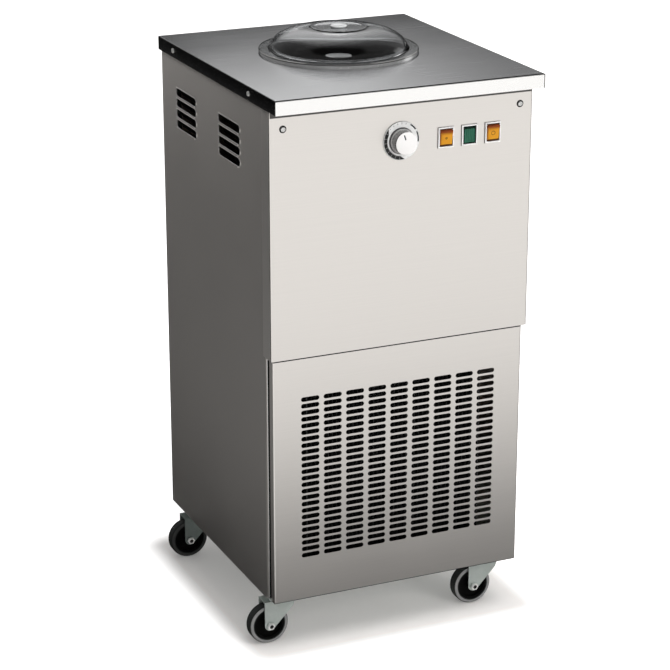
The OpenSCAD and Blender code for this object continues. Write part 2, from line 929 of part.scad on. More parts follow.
// Vertical bars of the paddle's frame on one side, with the arms that carry them
module paddle_side() {
    arm_in = shaft_r + arm_start;
    mid_x = (arm_in + paddle_r) / 2;
    block([paddle_r - bar_w, -bar_t / 2, paddle_z], [paddle_r, bar_t / 2, paddle_top]);
    for (z = [paddle_z, paddle_top - bar_w])
        block([arm_in, -bar_t / 2, z], [paddle_r, bar_t / 2, z + bar_w]);
    block([mid_x, -bar_t / 2, paddle_z], [mid_x + bar_t, bar_t / 2, paddle_top]);
}

module paddle() {
    color("#d9d8d4")
        translate([0, bowl_y, 0])
            difference() {
                union() {
                    disc(paddle_z, hub_top, hub_d / 2);
                    left_and_right() paddle_side();
                }
                disc(paddle_z - past, hub_top + past, shaft_r + run_gap);
            }
}

module scraper_blades() {
    blade_z = bowl_floor + bowl_fillet;
    color(white)
        translate([0, bowl_y, 0])
            left_and_right()
                intersection() {
                    block([paddle_r, -bar_t / 4, blade_z], [scraper_tip + past, bar_t / 4, paddle_top]);
                    disc(blade_z, paddle_top, scraper_tip);
                }
}

module paddle_nut() {
    color("#b9bab8")
        translate([0, bowl_y, 0])
            difference() {
                rotate_extrude()
                    polygon(concat([[0, hub_top], [nut_d / 2 - nut_step, hub_top]],
                        arc([nut_d / 2 - nut_edge, nut_top - nut_edge], nut_edge, 0, 90, 6), [[0, nut_top]]));
                disc(hub_top - past, hub_top + thread_l + rest_gap, shaft_r + run_gap);
            }
}

module drive_motor() {
    r = motor_d / 2;
    body_z = deck_top + motor_flange_t;
    box_z = body_z + terminal_rise;
    color("#3f4a55")
        translate(motor_at)
            difference() {
                union() {
                    block([-motor_flange_w / 2, -motor_flange_w / 2, deck_top],
                        [motor_flange_w / 2, motor_flange_w / 2, body_z]);
                    disc(body_z, body_z + motor_l, r);
                    for (i = [0:motor_ribs - 1])
                        rotate([0, 0, i * 360 / motor_ribs])
                            block([r - motor_rib, -rib_half, body_z],
                                [r + motor_rib, rib_half, body_z + motor_l - rib_stop]);
                    block([-terminal_w / 2, -r - terminal_out, box_z],
                        [terminal_w / 2, 0, box_z + terminal_h]);
                }
                disc(deck_top - past, body_z + motor_shaft_in + motor_bore_end, motor_shaft_r + run_gap);
            }
}

module motor_shaft() {
    color(zinc)
        translate(motor_at)
            disc(belt_z - rim_h / 2 - motor_shaft_out, deck_top + motor_flange_t + motor_shaft_in,
                motor_shaft_r);
}

module compressor() {
    shoulder = 40;
    outer = arc([can_r - shoulder, can_z + can_h - shoulder], shoulder, 0, 90, 8);
    inner = arc([can_r - shoulder, can_z + can_h - shoulder], shoulder - can_t, 90, 0, 8);
    pad = can_r + pad_reach;
    pad_y = foot_dy + foot_r + foot_edge;
    color(dark)
        translate(can_at) {
            rotate_extrude()
                polygon(concat([[can_r - can_t, can_z], [can_r, can_z]], outer, [[0, can_z + can_h]],
                    [[0, can_z + can_h - can_t]], inner));
            difference() {
                block([-pad, -pad_y, can_z], [pad, pad_y, can_z + foot_plate]);
                disc(can_z - past, can_z + foot_plate + past, can_r - can_t);
            }
        }
}

module compressor_feet() {
    color("#1d1d1d")
        translate(can_at)
            for (x = [-1, 1], y = [-1, 1])
                translate([x * foot_dx, y * foot_dy, 0]) disc(base_top, can_z, foot_r);
}

module condenser() {
    half = condenser_w / 2;
    top = base_top + condenser_h;
    bend_out = 8;
    tube_r = 5;
    tube_step = 44;
    color("#a9acac") {
        left_and_right()
            block([-half, condenser_y, base_top], [-half + end_t, condenser_back, top]);
        for (z = [condenser_z, top - end_t])
            block([-half, condenser_y, z], [half, condenser_back, z + end_t]);
        between_z(condenser_z + end_t, top - end_t)
            for (x = [-half + end_t + fin_pitch:fin_pitch:half - end_t - fin_pitch / 2])
                translate([x, condenser_y]) square([fin_t, condenser_d]);
        for (z = [condenser_z + tube_step / 2:tube_step:top - tube_step])
            left_and_right()
                block([-half - bend_out, condenser_y + condenser_d / 2 - tube_r, z],
                    [-half, condenser_y + condenser_d / 2 + tube_r, z + tube_step / 2]);
    }
}

module fan_shroud() {
    half = condenser_w / 2;
    top = base_top + condenser_h;
    leg_in = fan_hole_d / 2;
    leg_out = leg_in + cage_w;
    leg_z = [fan_z - cage_w / 2, fan_z + cage_w / 2];
    color("#55585a") {
        difference() {
            block([-half, condenser_back, base_top], [half, shroud_y, top]);
            block([-half + shroud_t, condenser_back - past, base_top + shroud_t],
                [half - shroud_t, shroud_y - shroud_t, top - shroud_t]);
            rod_y([0, fan_z], shroud_y - shroud_t - past, shroud_y + past, fan_hole_d / 2);
        }
        left_and_right()
            block([-leg_out, shroud_y, leg_z[0]], [-leg_in, cage_y, leg_z[1]]);
        block([-leg_out, cage_y, leg_z[0]], [leg_out, cage_y + angle_t, leg_z[1]]);
    }
}

module fan_motor() {
    color("#4b4f52")
        difference() {
            rod_y([0, fan_z], fan_motor_y, cage_y, fan_motor_d / 2);
            rod_y([0, fan_z], fan_motor_y - past, cage_y - fan_bore_end, fan_shaft_r + run_gap);
        }
}

module fan_blade() {
    hub_r = 24;
    chord = 62;
    pitch = 22;
    blade_t = 2;
    mid_y = fan_y + fan_hub_h / 2;
    color("#6d7174")
        union() {
            rod_y([0, fan_z], fan_y, fan_y + fan_hub_h, hub_r);
            rod_y([0, fan_z], fan_y, cage_y - fan_shaft_end, fan_shaft_r);
            intersection() {
                translate([0, mid_y, fan_z])
                    for (i = [0:fan_blades - 1])
                        rotate([0, i * 360 / fan_blades, 0])
                            rotate([pitch, 0, 0])
                                block([hub_r - blade_root, -blade_t / 2, -chord / 2],
                                    [fan_d / 2 + past, blade_t / 2, chord / 2]);
                rod_y([0, fan_z], fan_y - chord, fan_y + chord, fan_d / 2);
            }
        }
}

module filter_drier() {
    cone = 14;
    color(copper)
        translate([line_x, liquid_y, drier_z])
            rotate_extrude()
                polygon([[0, 0], [line_r, 0], [drier_d / 2, cone], [drier_d / 2, drier_l - cone],
                    [line_r, drier_l], [0, drier_l]]);
}

module refrigerant_lines() {
    condenser_mid = condenser_y + condenser_d / 2;
    condenser_side = condenser_w / 2 + rest_gap;
    low_z = base_top + low_rise;
    high_z = base_top + condenser_h - line_d;
    suction_low = can_z + can_h - suction_drop;
    can_front = can_at[1] - can_r;
    gas_y = can_front - gas_gap;
    color(copper) {
        pipe([[stub_x, liquid_y, liquid_z], [line_x, liquid_y, liquid_z],
            [line_x, liquid_y, drier_z + drier_l]], line_r);
        pipe([[line_x, liquid_y, drier_z], [line_x, liquid_y, low_z], [line_x, condenser_mid, low_z],
            [condenser_side, condenser_mid, low_z]], line_r);
        pipe([[stub_x, suction_y, suction_z], [line_x, suction_y, suction_z],
            [line_x, suction_y, suction_low], [line_x, can_at[1], suction_low],
            [can_at[0] + can_r + rest_gap, can_at[1], suction_low]], line_r);
        pipe([[can_at[0], can_front - rest_gap, suction_low], [can_at[0], gas_y, suction_low],
            [-line_x, gas_y, suction_low], [-line_x, gas_y, high_z], [-line_x, condenser_mid, high_z],
            [-condenser_side, condenser_mid, high_z]], line_r);
    }
}

module cable_gland() {
    nose_y = rear_y + gland_hex_t;
    end_y = nose_y + gland_nose_l;
    color(dark)
        difference() {
            union() {
                rod_y(gland_at, rear_y, nose_y, gland_hex_r, 6);
                rod_y(gland_at, nose_y, end_y, gland_nose_r);
                rod_y(gland_at, rear_in - gland_in, rear_y, gland_thread_r);
                rod_y(gland_at, rear_in - gland_hex_t, rear_in, gland_hex_r, 6);
            }
            rod_y(gland_at, rear_in - gland_in - past, end_y + past, gland_bore_d / 2);
        }
}

module control_box() {
    color(zinc)
        difference() {
            block([box_lo[0], front_in, box_lo[1]], [box_hi[0], front_in + box_depth, box_hi[1]]);
            block([box_lo[0] + box_wall, front_in - past, box_lo[1] + box_wall],
                [box_hi[0] - box_wall, front_in + box_depth - box_wall, box_hi[1] - box_wall]);
        }
}

module timer_body() {
    half = timer_box / 2;
    color(dark) {
        block([timer_x - half, front_in, timer_z - half],
            [timer_x + half, front_in + timer_depth, timer_z + half]);
        rod_y([timer_x, timer_z], knob_y - knob_l / 2, front_in, timer_pin_r);
    }
}

module timer_dial() {
    color(white)
        difference() {
            rod_y([timer_x, timer_z], front_y - dial_t, front_y, dial_d / 2, 96);
            rod_y([timer_x, timer_z], front_y - dial_t - past, front_y + past, timer_pin_r + pin_gap);
        }
}

module timer_knob() {
    pointer_w = 1.6;
    pointer_deep = 0.6;
    face_y = knob_y - knob_l;
    grip_y = face_y + knob_face_t;
    grip_r = knob_r - grip_step;
    color(white)
        translate([timer_x, 0, timer_z])
            difference() {
                union() {
                    difference() {
                        rod_y([0, 0], grip_y, knob_y, grip_r);
                        for (i = [0:knob_grooves - 1])
                            rotate([0, i * 360 / knob_grooves, 0])
                                rod_y([grip_r + grip_groove_out, 0], grip_y - past, knob_y - knob_skirt_t,
                                    grip_groove_r, 16);
                    }
                    rod_y([0, 0], knob_y - knob_skirt_t, knob_y, knob_r + knob_skirt);
                    rod_y([0, 0], face_y, grip_y, knob_r);
                }
                rotate([0, -pointer_angle, 0])
                    block([-pointer_w / 2, face_y - past, pointer_in],
                        [pointer_w / 2, face_y + pointer_deep, knob_r - pointer_end]);
                rod_y([0, 0], knob_y - knob_l / 2 - rest_gap, knob_y + past, timer_pin_r + run_gap);
            }
}

// Places of the two switches and, in the middle, of the lamp
module at_switches(which = [0, 1, 2]) {
    for (i = which)
        translate([switch_x + i * switch_pitch, 0, switch_z]) children();
}

module switch_housings() {
    outer_w = window_w / 2 + housing_wall;
    outer_h = window_h / 2 + housing_wall;
    color(white)
        at_switches()
            difference() {
                union() {
                    block([-bezel_w / 2, front_y - bezel_t, -bezel_h / 2],
                        [bezel_w / 2, front_y, bezel_h / 2]);
                    block([-outer_w, front_y, -outer_h], [outer_w, front_y + housing_depth, outer_h]);
                }
                block([-window_w / 2, front_y - bezel_t - past, -window_h / 2],
                    [window_w / 2, front_y + cavity_depth, window_h / 2]);
                rod_x([front_y + pivot_depth, 0], -outer_w - past, outer_w + past, pivot_r + run_gap);
            }
}

// Rocker tilted with its upper end out, on its two pivot pins
module rocker() {
    crest = 1.2;
    face = -pivot_depth - rocker_front;
    back = rocker_back - pivot_depth;
    translate([0, front_y + pivot_depth, 0])
        rotate([rocker_tilt, 0, 0])
            union() {
                between_x(-rocker_w / 2, rocker_w / 2)
                    polygon([[face - crest, rocker_h / 2], [face, 0], [face - crest, -rocker_h / 2],
                        [back, -rocker_h / 3], [back, rocker_h / 3]]);
                rod_x([0, 0], -window_w / 2 - housing_wall / 2, window_w / 2 + housing_wall / 2, pivot_r);
            }
}

module rocker_left() {
    color("#e0a044") at_switches([0]) rocker();
}

module rocker_right() {
    color("#e0a044") at_switches([2]) rocker();
}

module lamp_lens() {
    lens_w = window_w - 2 * fit_gap;
    lens_h = window_h - 2 * fit_gap;
    lens_y = front_y - bezel_t + lens_sink;
    step = (lens_w - 2 * lens_rib) / lens_ribs;
    color("#2f6b57")
        at_switches([1])
            union() {
                block([-lens_w / 2, lens_y + lens_rib_h, -lens_h / 2],
                    [lens_w / 2, front_y + cavity_depth, lens_h / 2]);
                for (i = [0:lens_ribs - 1])
                    translate([(i - (lens_ribs - 1) / 2) * step, 0, 0])
                        block([-lens_rib, lens_y, lens_edge - lens_h / 2],
                            [lens_rib, lens_y + lens_rib_h, lens_h / 2 - lens_edge]);
            }
}

// Places of the screws, with the children's heads towards the outside of the cabinet
module at_front_screws() {
    for (side = [-1, 1])
        translate([side * screw_x, 0, screw_z]) children();
}

module at_rear_screws() {
    for (side = [-1, 1], z = [base_z + rear_screw_low, (base_z + top_z) / 2, top_z - rear_screw_high])
        translate([side * (post_x - angle_w / 2), 0, z]) children();
}

module at_lip_screws() {
    for (y = [lip_screw_front - top_d / 2, top_d / 2 - lip_screw_rear])
        translate([0, y, top_z - lip_h / 2]) children();
}

module panel_screws() {
    color(zinc) {
        at_front_screws() {
            rod_y([0, 0], front_y - washer_t, front_in + screw_len, screw_r);
            rod_y([0, 0], front_y - washer_t - screw_head_h, front_y - washer_t, screw_head_r);
        }
        at_rear_screws() {
            rod_y([0, 0], rear_in - screw_len, rear_y, screw_r);
            rod_y([0, 0], rear_y, rear_y + screw_head_h, screw_head_r);
        }
        left_and_right()
            at_lip_screws() {
                rod_x([0, 0], -top_w / 2, -side_x + sheet + lip_screw_in, screw_r);
                rod_x([0, 0], -top_w / 2 - screw_head_h, -top_w / 2, screw_head_r);
            }
    }
}

module cup_washers() {
    color("#8e9193")
        at_front_screws()
            difference() {
                rod_y([0, 0], front_y - washer_t, front_y, screw_head_r + washer_reach);
                rod_y([0, 0], front_y - washer_t - past, front_y + past, screw_r + run_gap);
            }
}

module lid_dome() {
    flange_z = rim_z + rest_gap;
    rise = dome_rise;
    flat_r = dome_top_d / 2;
    lip_r = bowl_r - fit_gap;
    lip_drop = 5;
    rim_w = 4;
    rim_rise = 2;
    steps = 16;
    top = flange_z + rise;
    outer = [for (i = [1:steps])
        [flat_r, flange_z] + [(dome_r - flat_r) * cos(90 * i / steps), rise * sin(90 * i / steps)]];
    inner = [for (i = [steps:-1:0])
        [flat_r, flange_z + lid_t] + [(dome_r - lid_t - flat_r) * cos(90 * i / steps),
            (rise - 2 * lid_t) * sin(90 * i / steps)]];
    color([0.85, 0.88, 0.9, 0.35])
        translate([0, bowl_y, 0])
            rotate_extrude($fn = 96)
                polygon(concat([[lid_r, flange_z], [lid_r, flange_z + lid_t],
                        [dome_r + lid_t, flange_z + lid_t]],
                    outer, [[flat_r, top + rim_rise], [flat_r - rim_w, top + rim_rise],
                        [flat_r - rim_w, top], [0, top], [0, top - lid_t]],
                    inner, [[lip_r - lid_t, flange_z + lid_t], [lip_r - lid_t, flange_z - lip_drop],
                        [lip_r, flange_z - lip_drop], [lip_r, flange_z]]));
}

module lid_knob() {
    edge = 1.5;
    knob_z = rim_z + rest_gap + dome_rise;
    knob_top = knob_z + lid_knob_h;
    side = lid_knob_d / 2 - edge;
    color("#c9cccd")
        translate([0, bowl_y, 0])
            rotate_extrude()
                polygon(concat([[0, knob_z], [side, knob_z]], arc([side, knob_top - edge], edge, 0, 90, 4),
                    [[0, knob_top]]));
}

// Place of one caster's swivel axis on the floor
module at_caster(side, end) {
    translate([side * caster_x, end < 0 ? caster_front_y : caster_rear_y, 0]) children();
}

module at_casters() {
    for (side = [-1, 1], end = [-1, 1])
        at_caster(side, end) children();
}

// Places of the bolts that hold the casters' plates
module at_bolts() {
    reach = caster_plate / 2 - bolt_inset;
    at_casters()
        for (x = [-1, 1], y = [-1, 1])
            translate([x * reach, y * reach, 0]) children();
}

module caster_plates() {
    half = caster_plate / 2;
    plate_z = base_z - plate_t;
    color(zinc)
        difference() {
            at_casters() {
                block([-half, -half, plate_z], [half, half, base_z]);
                disc(plate_z - race_h, plate_z, race_r);
                disc(crown_z - rest_gap, plate_z - race_h, king_r);
                disc(crown_z - rest_gap - king_head_h, crown_z - rest_gap, king_head_r);
            }
            at_bolts() disc(plate_z - past, base_z + past, bolt_r + fit_gap);
        }
}

module caster_bolts() {
    color(zinc)
        at_bolts() {
            translate([0, 0, base_z - plate_t - bolt_head_h])
                cylinder(h = bolt_head_h, r = bolt_r + bolt_hex_wall, $fn = 6);
            disc(base_z - plate_t, base_top - fit_gap, bolt_r);
        }
}

// Side plate of a fork, drawn in X and Z from the swivel's axis
module fork_outline() {
    crown_top = crown_z + fork_t;
    axle = [-trail, wheel_r];
    polygon([axle, axle - [fork_nose_r, 0], [-trail - fork_nose_r, crown_top], [fork_back_x, crown_top],
        [fork_back_x - fork_back_in, crown_top - fork_back_drop],
        axle + fork_nose_r * around(fork_nose_end)]);
    translate(axle) circle(r = fork_nose_r);
}

// Fork that trails to the left, with its axle bolt
module fork() {
    crown_top = crown_z + fork_t;
    outside = fork_in + fork_t;
    hex_y = outside + rest_gap;
    hex_r = axle_r + axle_hex_wall;
    color(zinc) {
        difference() {
            union() {
                for (y = [-outside, fork_in])
                    between_y(y, y + fork_t) fork_outline();
                block([-trail - fork_nose_r, -outside, crown_z], [fork_back_x, outside, crown_top]);
                disc(crown_z, crown_top, race_r - crown_in);
            }
            disc(crown_z - past, crown_top + past, king_r + run_gap);
            rod_y([-trail, wheel_r], -outside - past, outside + past, axle_r + 2 * run_gap);
        }
        rod_y([-trail, wheel_r], -hex_y, hex_y, axle_r);
        rod_y([-trail, wheel_r], -hex_y - axle_r, -hex_y, hex_r, 6);
        rod_y([-trail, wheel_r], hex_y, hex_y + axle_r, hex_r, 6);
    }
}

// Hub of a wheel, with a thin web between its boss and its rim
module wheel_hub() {
    boss_r = axle_r + hub_boss_wall;
    web = hub_web_t / 2;
    rim_in = tyre_r - hub_rim_wall;
    half = wheel_w / 2 - hub_rim_in;
    boss_half = wheel_w / 2 + hub_boss_out;
    bore_r = axle_r + run_gap;
    color("#1a1a1a")
        translate([-trail, 0, wheel_r])
            rotate([90, 0, 0])
                rotate_extrude()
                    polygon([[bore_r, -boss_half], [boss_r, -boss_half], [boss_r, -web], [rim_in, -web],
                        [rim_in, -half], [tyre_r, -half], [tyre_r, half], [rim_in, half], [rim_in, web],
                        [boss_r, web], [boss_r, boss_half], [bore_r, boss_half]]);
}

// Tyre with rounded shoulders round a wheel's hub
module tyre() {
    shoulder = 5;
    half = wheel_w / 2;
    inner_r = tyre_r + 2 * run_gap;
    color("#6f6f6f")
        translate([-trail, 0, wheel_r])
            rotate([90, 0, 0])
                rotate_extrude($fn = 96)
                    polygon(concat([[inner_r, -half]],
                        arc([wheel_r - shoulder, shoulder - half], shoulder, -90, 0, 6),
                        arc([wheel_r - shoulder, half - shoulder], shoulder, 0, 90, 6), [[inner_r, half]]));
}

base_plate();
inner_frame();
left_side_panel();
right_side_panel();
rear_panel();
upper_front_panel();
lower_grille_panel();
top_plate();
drive_deck();
bowl_ring();
freezing_bowl();
evaporator_jacket();
insulation_shell();
spindle_housing();
spindle_bearings();
shaft_seal();
drive_motor();
drive_belt();
compressor();
compressor_feet();
condenser();
fan_shroud();
fan_motor();
filter_drier();
refrigerant_lines();
control_box();
timer_body();
timer_dial();
switch_housings();
lamp_lens();
panel_screws();
cup_washers();
cable_gland();
caster_plates();
caster_bolts();
spindle_shaft();
drive_pulley();
paddle();
scraper_blades();
paddle_nut();
motor_shaft();
motor_pulley();
fan_blade();
timer_knob();
rocker_left();
rocker_right();
lid_dome();
lid_knob();
at_caster(-1, -1) fork();  // fork_front_left
at_caster(1, -1) fork();  // fork_front_right
at_caster(-1, 1) fork();  // fork_rear_left
at_caster(1, 1) fork();  // fork_rear_right
at_caster(-1, -1) wheel_hub();  // wheel_front_left
at_caster(1, -1) wheel_hub();  // wheel_front_right
at_caster(-1, 1) wheel_hub();  // wheel_rear_left
at_caster(1, 1) wheel_hub();  // wheel_rear_right
at_caster(-1, -1) tyre();  // tyre_front_left
at_caster(1, -1) tyre();  // tyre_front_right
at_caster(-1, 1) tyre();  // tyre_rear_left
at_caster(1, 1) tyre();  // tyre_rear_right
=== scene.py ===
# %% [markdown]
# A batch freezer on casters, dressed for a studio picture. The exact solids come from the packed
# model and stay where they are. This lesson adds the finishes and the small rounded pieces that a
# plain solid lacks: the clear dome, the timer, the switches, the screws, the rims and the caster trim.

# %% Load the solids
import math
import bmesh
import bpy
from mathutils import Matrix, Vector


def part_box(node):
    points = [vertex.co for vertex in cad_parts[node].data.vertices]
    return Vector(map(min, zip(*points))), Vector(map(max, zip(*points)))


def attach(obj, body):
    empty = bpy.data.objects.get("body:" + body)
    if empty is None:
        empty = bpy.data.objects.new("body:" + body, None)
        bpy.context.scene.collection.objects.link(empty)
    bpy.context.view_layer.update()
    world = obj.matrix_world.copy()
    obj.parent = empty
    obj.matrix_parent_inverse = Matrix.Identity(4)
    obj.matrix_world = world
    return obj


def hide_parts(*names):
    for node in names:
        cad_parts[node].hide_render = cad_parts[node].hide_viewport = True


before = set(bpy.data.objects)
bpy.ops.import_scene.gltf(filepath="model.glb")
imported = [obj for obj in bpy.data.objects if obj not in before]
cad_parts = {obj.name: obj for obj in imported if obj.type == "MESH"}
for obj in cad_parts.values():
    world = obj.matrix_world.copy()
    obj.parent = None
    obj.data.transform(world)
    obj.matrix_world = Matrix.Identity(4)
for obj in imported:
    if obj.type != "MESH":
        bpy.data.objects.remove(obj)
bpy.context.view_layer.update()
scene = bpy.context.scene
print("solids:", len(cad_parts))

# %% [markdown]
# The photograph looks down on the front from the left. A camera is set by what it aims at, how far
# back it stands, its two angles and its focal length in pixels of the picture, which were measured
# once from the corners of the cabinet. Aiming it with a track quaternion keeps its roll at zero.

# %% Camera
PICTURE_PX = 670
FOCAL_PX = 2340
SENSOR_MM = 36.0
AZIMUTH, ELEVATION = math.radians(-23.96), math.radians(19.32)
AIM = Vector((-0.0195, 0.0, 0.498))
STAND_OFF = 4.311

towards_camera = Vector((math.sin(AZIMUTH) * math.cos(ELEVATION),
                         -math.cos(AZIMUTH) * math.cos(ELEVATION), math.sin(ELEVATION)))
lens = bpy.data.cameras.new("camera")
lens.sensor_width = SENSOR_MM
lens.lens = SENSOR_MM * FOCAL_PX / PICTURE_PX
camera = bpy.data.objects.new("camera", lens)
camera.location = AIM + towards_camera * STAND_OFF
camera.rotation_euler = (-towards_camera).to_track_quat("-Z", "Y").to_euler()
scene.collection.objects.link(camera)
scene.camera = camera
print("camera at", [round(v, 2) for v in camera.location], "lens", round(lens.lens, 1))

# %% [markdown]
# Shader sums read best as plain arithmetic. A socket could be linked by hand for every Math node,
# but a small class that wraps a socket lets Python's own operators add those nodes, and one method
# makes every other kind of node from its settings and its inputs.

# %% Shader arithmetic
class Wire:
    """A shader socket that takes part in Python arithmetic."""

    def __init__(self, tree, socket):
        self.tree = tree
        self.socket = socket

    def plug(self, target, value):
        if isinstance(value, Wire):
            self.tree.links.new(value.socket, target)
        else:
            target.default_value = value

    def node(self, kind, settings=None, inputs=None, out=0):
        made = self.tree.nodes.new(kind)
        for key, value in (settings or {}).items():
            setattr(made, key, value)
        for key, value in (inputs or {}).items():
            self.plug(made.inputs[key], value)
        return Wire(self.tree, made.outputs[out])

    def math(self, operation, *others):
        return self.node("ShaderNodeMath", {"operation": operation}, dict(enumerate((self, *others))))

    def __add__(self, other):
        return self.math("ADD", other)

    def __sub__(self, other):
        return self.math("SUBTRACT", other)

    def __rsub__(self, other):
        return self.node("ShaderNodeMath", {"operation": "SUBTRACT"}, {0: other, 1: self})

    def __mul__(self, other):
        return self.math("MULTIPLY", other)

    def __gt__(self, other):
        return self.math("GREATER_THAN", other)

    def __lt__(self, other):
        return self.math("LESS_THAN", other)

    __radd__ = __add__
    __rmul__ = __mul__

    def axes(self):
        return [self.node("ShaderNodeSeparateXYZ", None, {0: self}, out) for out in range(3)]

    def stretched(self, scale):
        return self.node("ShaderNodeVectorMath", {"operation": "MULTIPLY"}, {0: self, 1: scale})

    def noise(self, scale, detail=3.0):
        return self.node("ShaderNodeTexNoise", None, {"Vector": self, "Scale": scale, "Detail": detail})

    def between(self, low, high):
        return self * (high - low) + low

    def within(self, low, high):
        """1 from low to high, 0 elsewhere."""
        return (self > low) * (self < high)

    def ramp(self, near, far, low=0.0, high=1.0):
        """Goes smoothly from low at the value near to high at the value far."""
        return self.node("ShaderNodeMapRange", {"interpolation_type": "SMOOTHSTEP"},
                         {0: self, 1: near, 2: far, 3: low, 4: high})

    def size(self):
        return self.math("ABSOLUTE")

    def most(self, other):
        return self.math("MAXIMUM", other)

    def away_from(self, here, other, there):
        """The distance in the plane of two axes from the point (here, there)."""
        return ((self - here) * (self - here) + (other - there) * (other - there)).math("SQRT")

    def tint(self, dark, light):
        return self.node("ShaderNodeMix", {"data_type": "RGBA"}, {0: self, 6: dark, 7: light}, 2)

    def bump(self, strength, depth):
        return self.node("ShaderNodeBump", None, {"Strength": strength, "Distance": depth, "Height": self})


print("shader arithmetic ready")

# %% [markdown]
# Every finish starts the same way: a material, its shader, and the place of the point in metres. The
# place is read from Object coordinates, which are the machine's own frame here, so a pattern keeps
# its real size on every piece. A dictionary of socket names then fills the shader in one call.

# %% Starting a finish
def rgb(red, green, blue, gain=1.0):
    return (red * gain, green * gain, blue * gain, 1.0)


def new_finish(name):
    """A material, its shader, and a wire of the piece's own coordinates in metres."""
    material = bpy.data.materials.new(name)
    material.use_nodes = True
    tree = material.node_tree
    place = Wire(tree, None).node("ShaderNodeTexCoord", None, None, "Object")
    return material, tree.nodes["Principled BSDF"], place


def dress(shader, place, **inputs):
    for key, value in inputs.items():
        place.plug(shader.inputs[key.replace("_", " ")], value)


print("finish helpers ready")

# %% [markdown]
# The cabinet is brushed stainless sheet. Brushing could be an anisotropic shader, but the export
# keeps only baked colour and roughness, so the grain is a noise that is stretched along the
# brushing direction. A broad second noise clouds the sheet as handling does.

# %% Brushed stainless
ALONG_X, ALONG_Y, ALONG_Z = (6, 900, 900), (900, 6, 900), (900, 900, 6)
GRAIN_SHARE, CONTRAST, CLOUD_SCALE = 0.7, 0.05, 5.0
GRAIN_ROUGH, CLOUD_ROUGH, GRAIN_BUMP, GRAIN_DEPTH = 0.05, 0.06, 0.06, 0.0002


def brushed_steel(name, colour, grain, roughness, patches=()):
    """Stainless sheet. A patch is a formula of the place, and the colour of the sheet where it is 1."""
    material, shader, place = new_finish(name)
    fine = place.stretched(grain).noise(1.0, 4.0)
    cloud = place.noise(CLOUD_SCALE, 2.0)
    tone = fine * GRAIN_SHARE + cloud * (1 - GRAIN_SHARE)
    metal = tone.tint(rgb(*colour, 1 - CONTRAST), rgb(*colour, 1 + CONTRAST))
    for where, patch in patches:
        metal = where(*place.axes()).tint(metal, rgb(*patch))
    dress(shader, place,
          Base_Color=metal,
          Metallic=1.0,
          Roughness=fine.between(roughness - GRAIN_ROUGH, roughness + GRAIN_ROUGH) + cloud * CLOUD_ROUGH,
          Normal=fine.bump(GRAIN_BUMP, GRAIN_DEPTH))
    return material


print("stainless recipe ready")

# %% [markdown]
# The folds, the seam and the cut edges of the sheets get thin painted lines: painted shadow under the
# seam and the lip, painted shade at the edges and inside the slots, and painted highlight on the bends.
# Each is told from the place alone: above the seam, under the lip, inside a slot, or on the lip's front.
# Thin strips of mesh could draw them too, but a line in the finish can't come loose from its sheet.

# %% Where the sheets end
MM = 0.001
SHEET, LOUVRE_LIP, FOLD, FOLD_GAP, FOLD_R = 1.5 * MM, 2.5 * MM, 20 * MM, 0.5 * MM, 3.0 * MM
SEAM_LINE, LIP_LINE, EDGE_LINE, FOOT_LINE, CUT = 5.2 * MM, 13.2 * MM, 2.4 * MM, 1.2 * MM, 0.3 * MM
BEND_TOP, BEND_FRONT, WALL_ROOM = 1.2 * MM, 3.0 * MM, 0.1 * MM

upper_low, upper_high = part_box("upper_front_panel")
lower_low, lower_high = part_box("lower_grille_panel")
top_low, top_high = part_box("top_plate")
side_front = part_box("left_side_panel")[0].y
sheet_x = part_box("right_side_panel")[1].x - LOUVRE_LIP
side_inside = sheet_x - SHEET - WALL_ROOM
print("front panels from", round(lower_low.z, 3), "to", round(upper_high.z, 3), "m")

# %% [markdown]
# Each sheet has a tone of its own, because each was cut and brushed apart, but the darker tone of the
# sides and the rear is painted shade. The strength of a line says how dark its painted shade is. Lines
# that come later in a list lie over the earlier ones.

# %% Steel of each sheet
# the black is painted shade, the bright colour is painted highlight, and the side tone is darker as painted
# shade
BLACK, PAINTED_HIGHLIGHT = (0.012, 0.012, 0.012), (0.97, 0.96, 0.94)
FRONT_TONE, SHADED_SIDE_TONE = (0.79, 0.755, 0.715), (0.62, 0.59, 0.56)
TOP_TONE, RING_TONE = (0.74, 0.745, 0.755), (0.95, 0.95, 0.94)
THICK, MEDIUM, THIN, LIP_SHADE = 0.9, 0.7, 0.6, 0.92

# upper sheet: a painted shadow line under the lip, and painted shade at both side edges
upper_steel = brushed_steel("upper_steel", FRONT_TONE, ALONG_X, 0.3, [
    (lambda x, y, z: (z > top_low.z - LIP_LINE) * (y < upper_low.y + CUT) * THICK, BLACK),
    (lambda x, y, z: (x > upper_high.x - EDGE_LINE) * THIN, BLACK),
    (lambda x, y, z: (x < upper_low.x + CUT) * (y < upper_low.y + BEND_FRONT) * MEDIUM, BLACK)])
# lower sheet: painted shadow under the seam, painted shade at the right edge and the foot, and black inside
# the slots and behind the sheet as painted shade
lower_steel = brushed_steel("lower_steel", FRONT_TONE, ALONG_X, 0.28, [
    (lambda x, y, z: z > upper_low.z - SEAM_LINE, BLACK),
    (lambda x, y, z: (x > lower_high.x - EDGE_LINE) * THIN, BLACK),
    (lambda x, y, z: (z < lower_low.z + FOOT_LINE) * THICK, BLACK),
    (lambda x, y, z: (y > lower_low.y + CUT) * (x.size() < lower_high.x - FOLD), BLACK)])
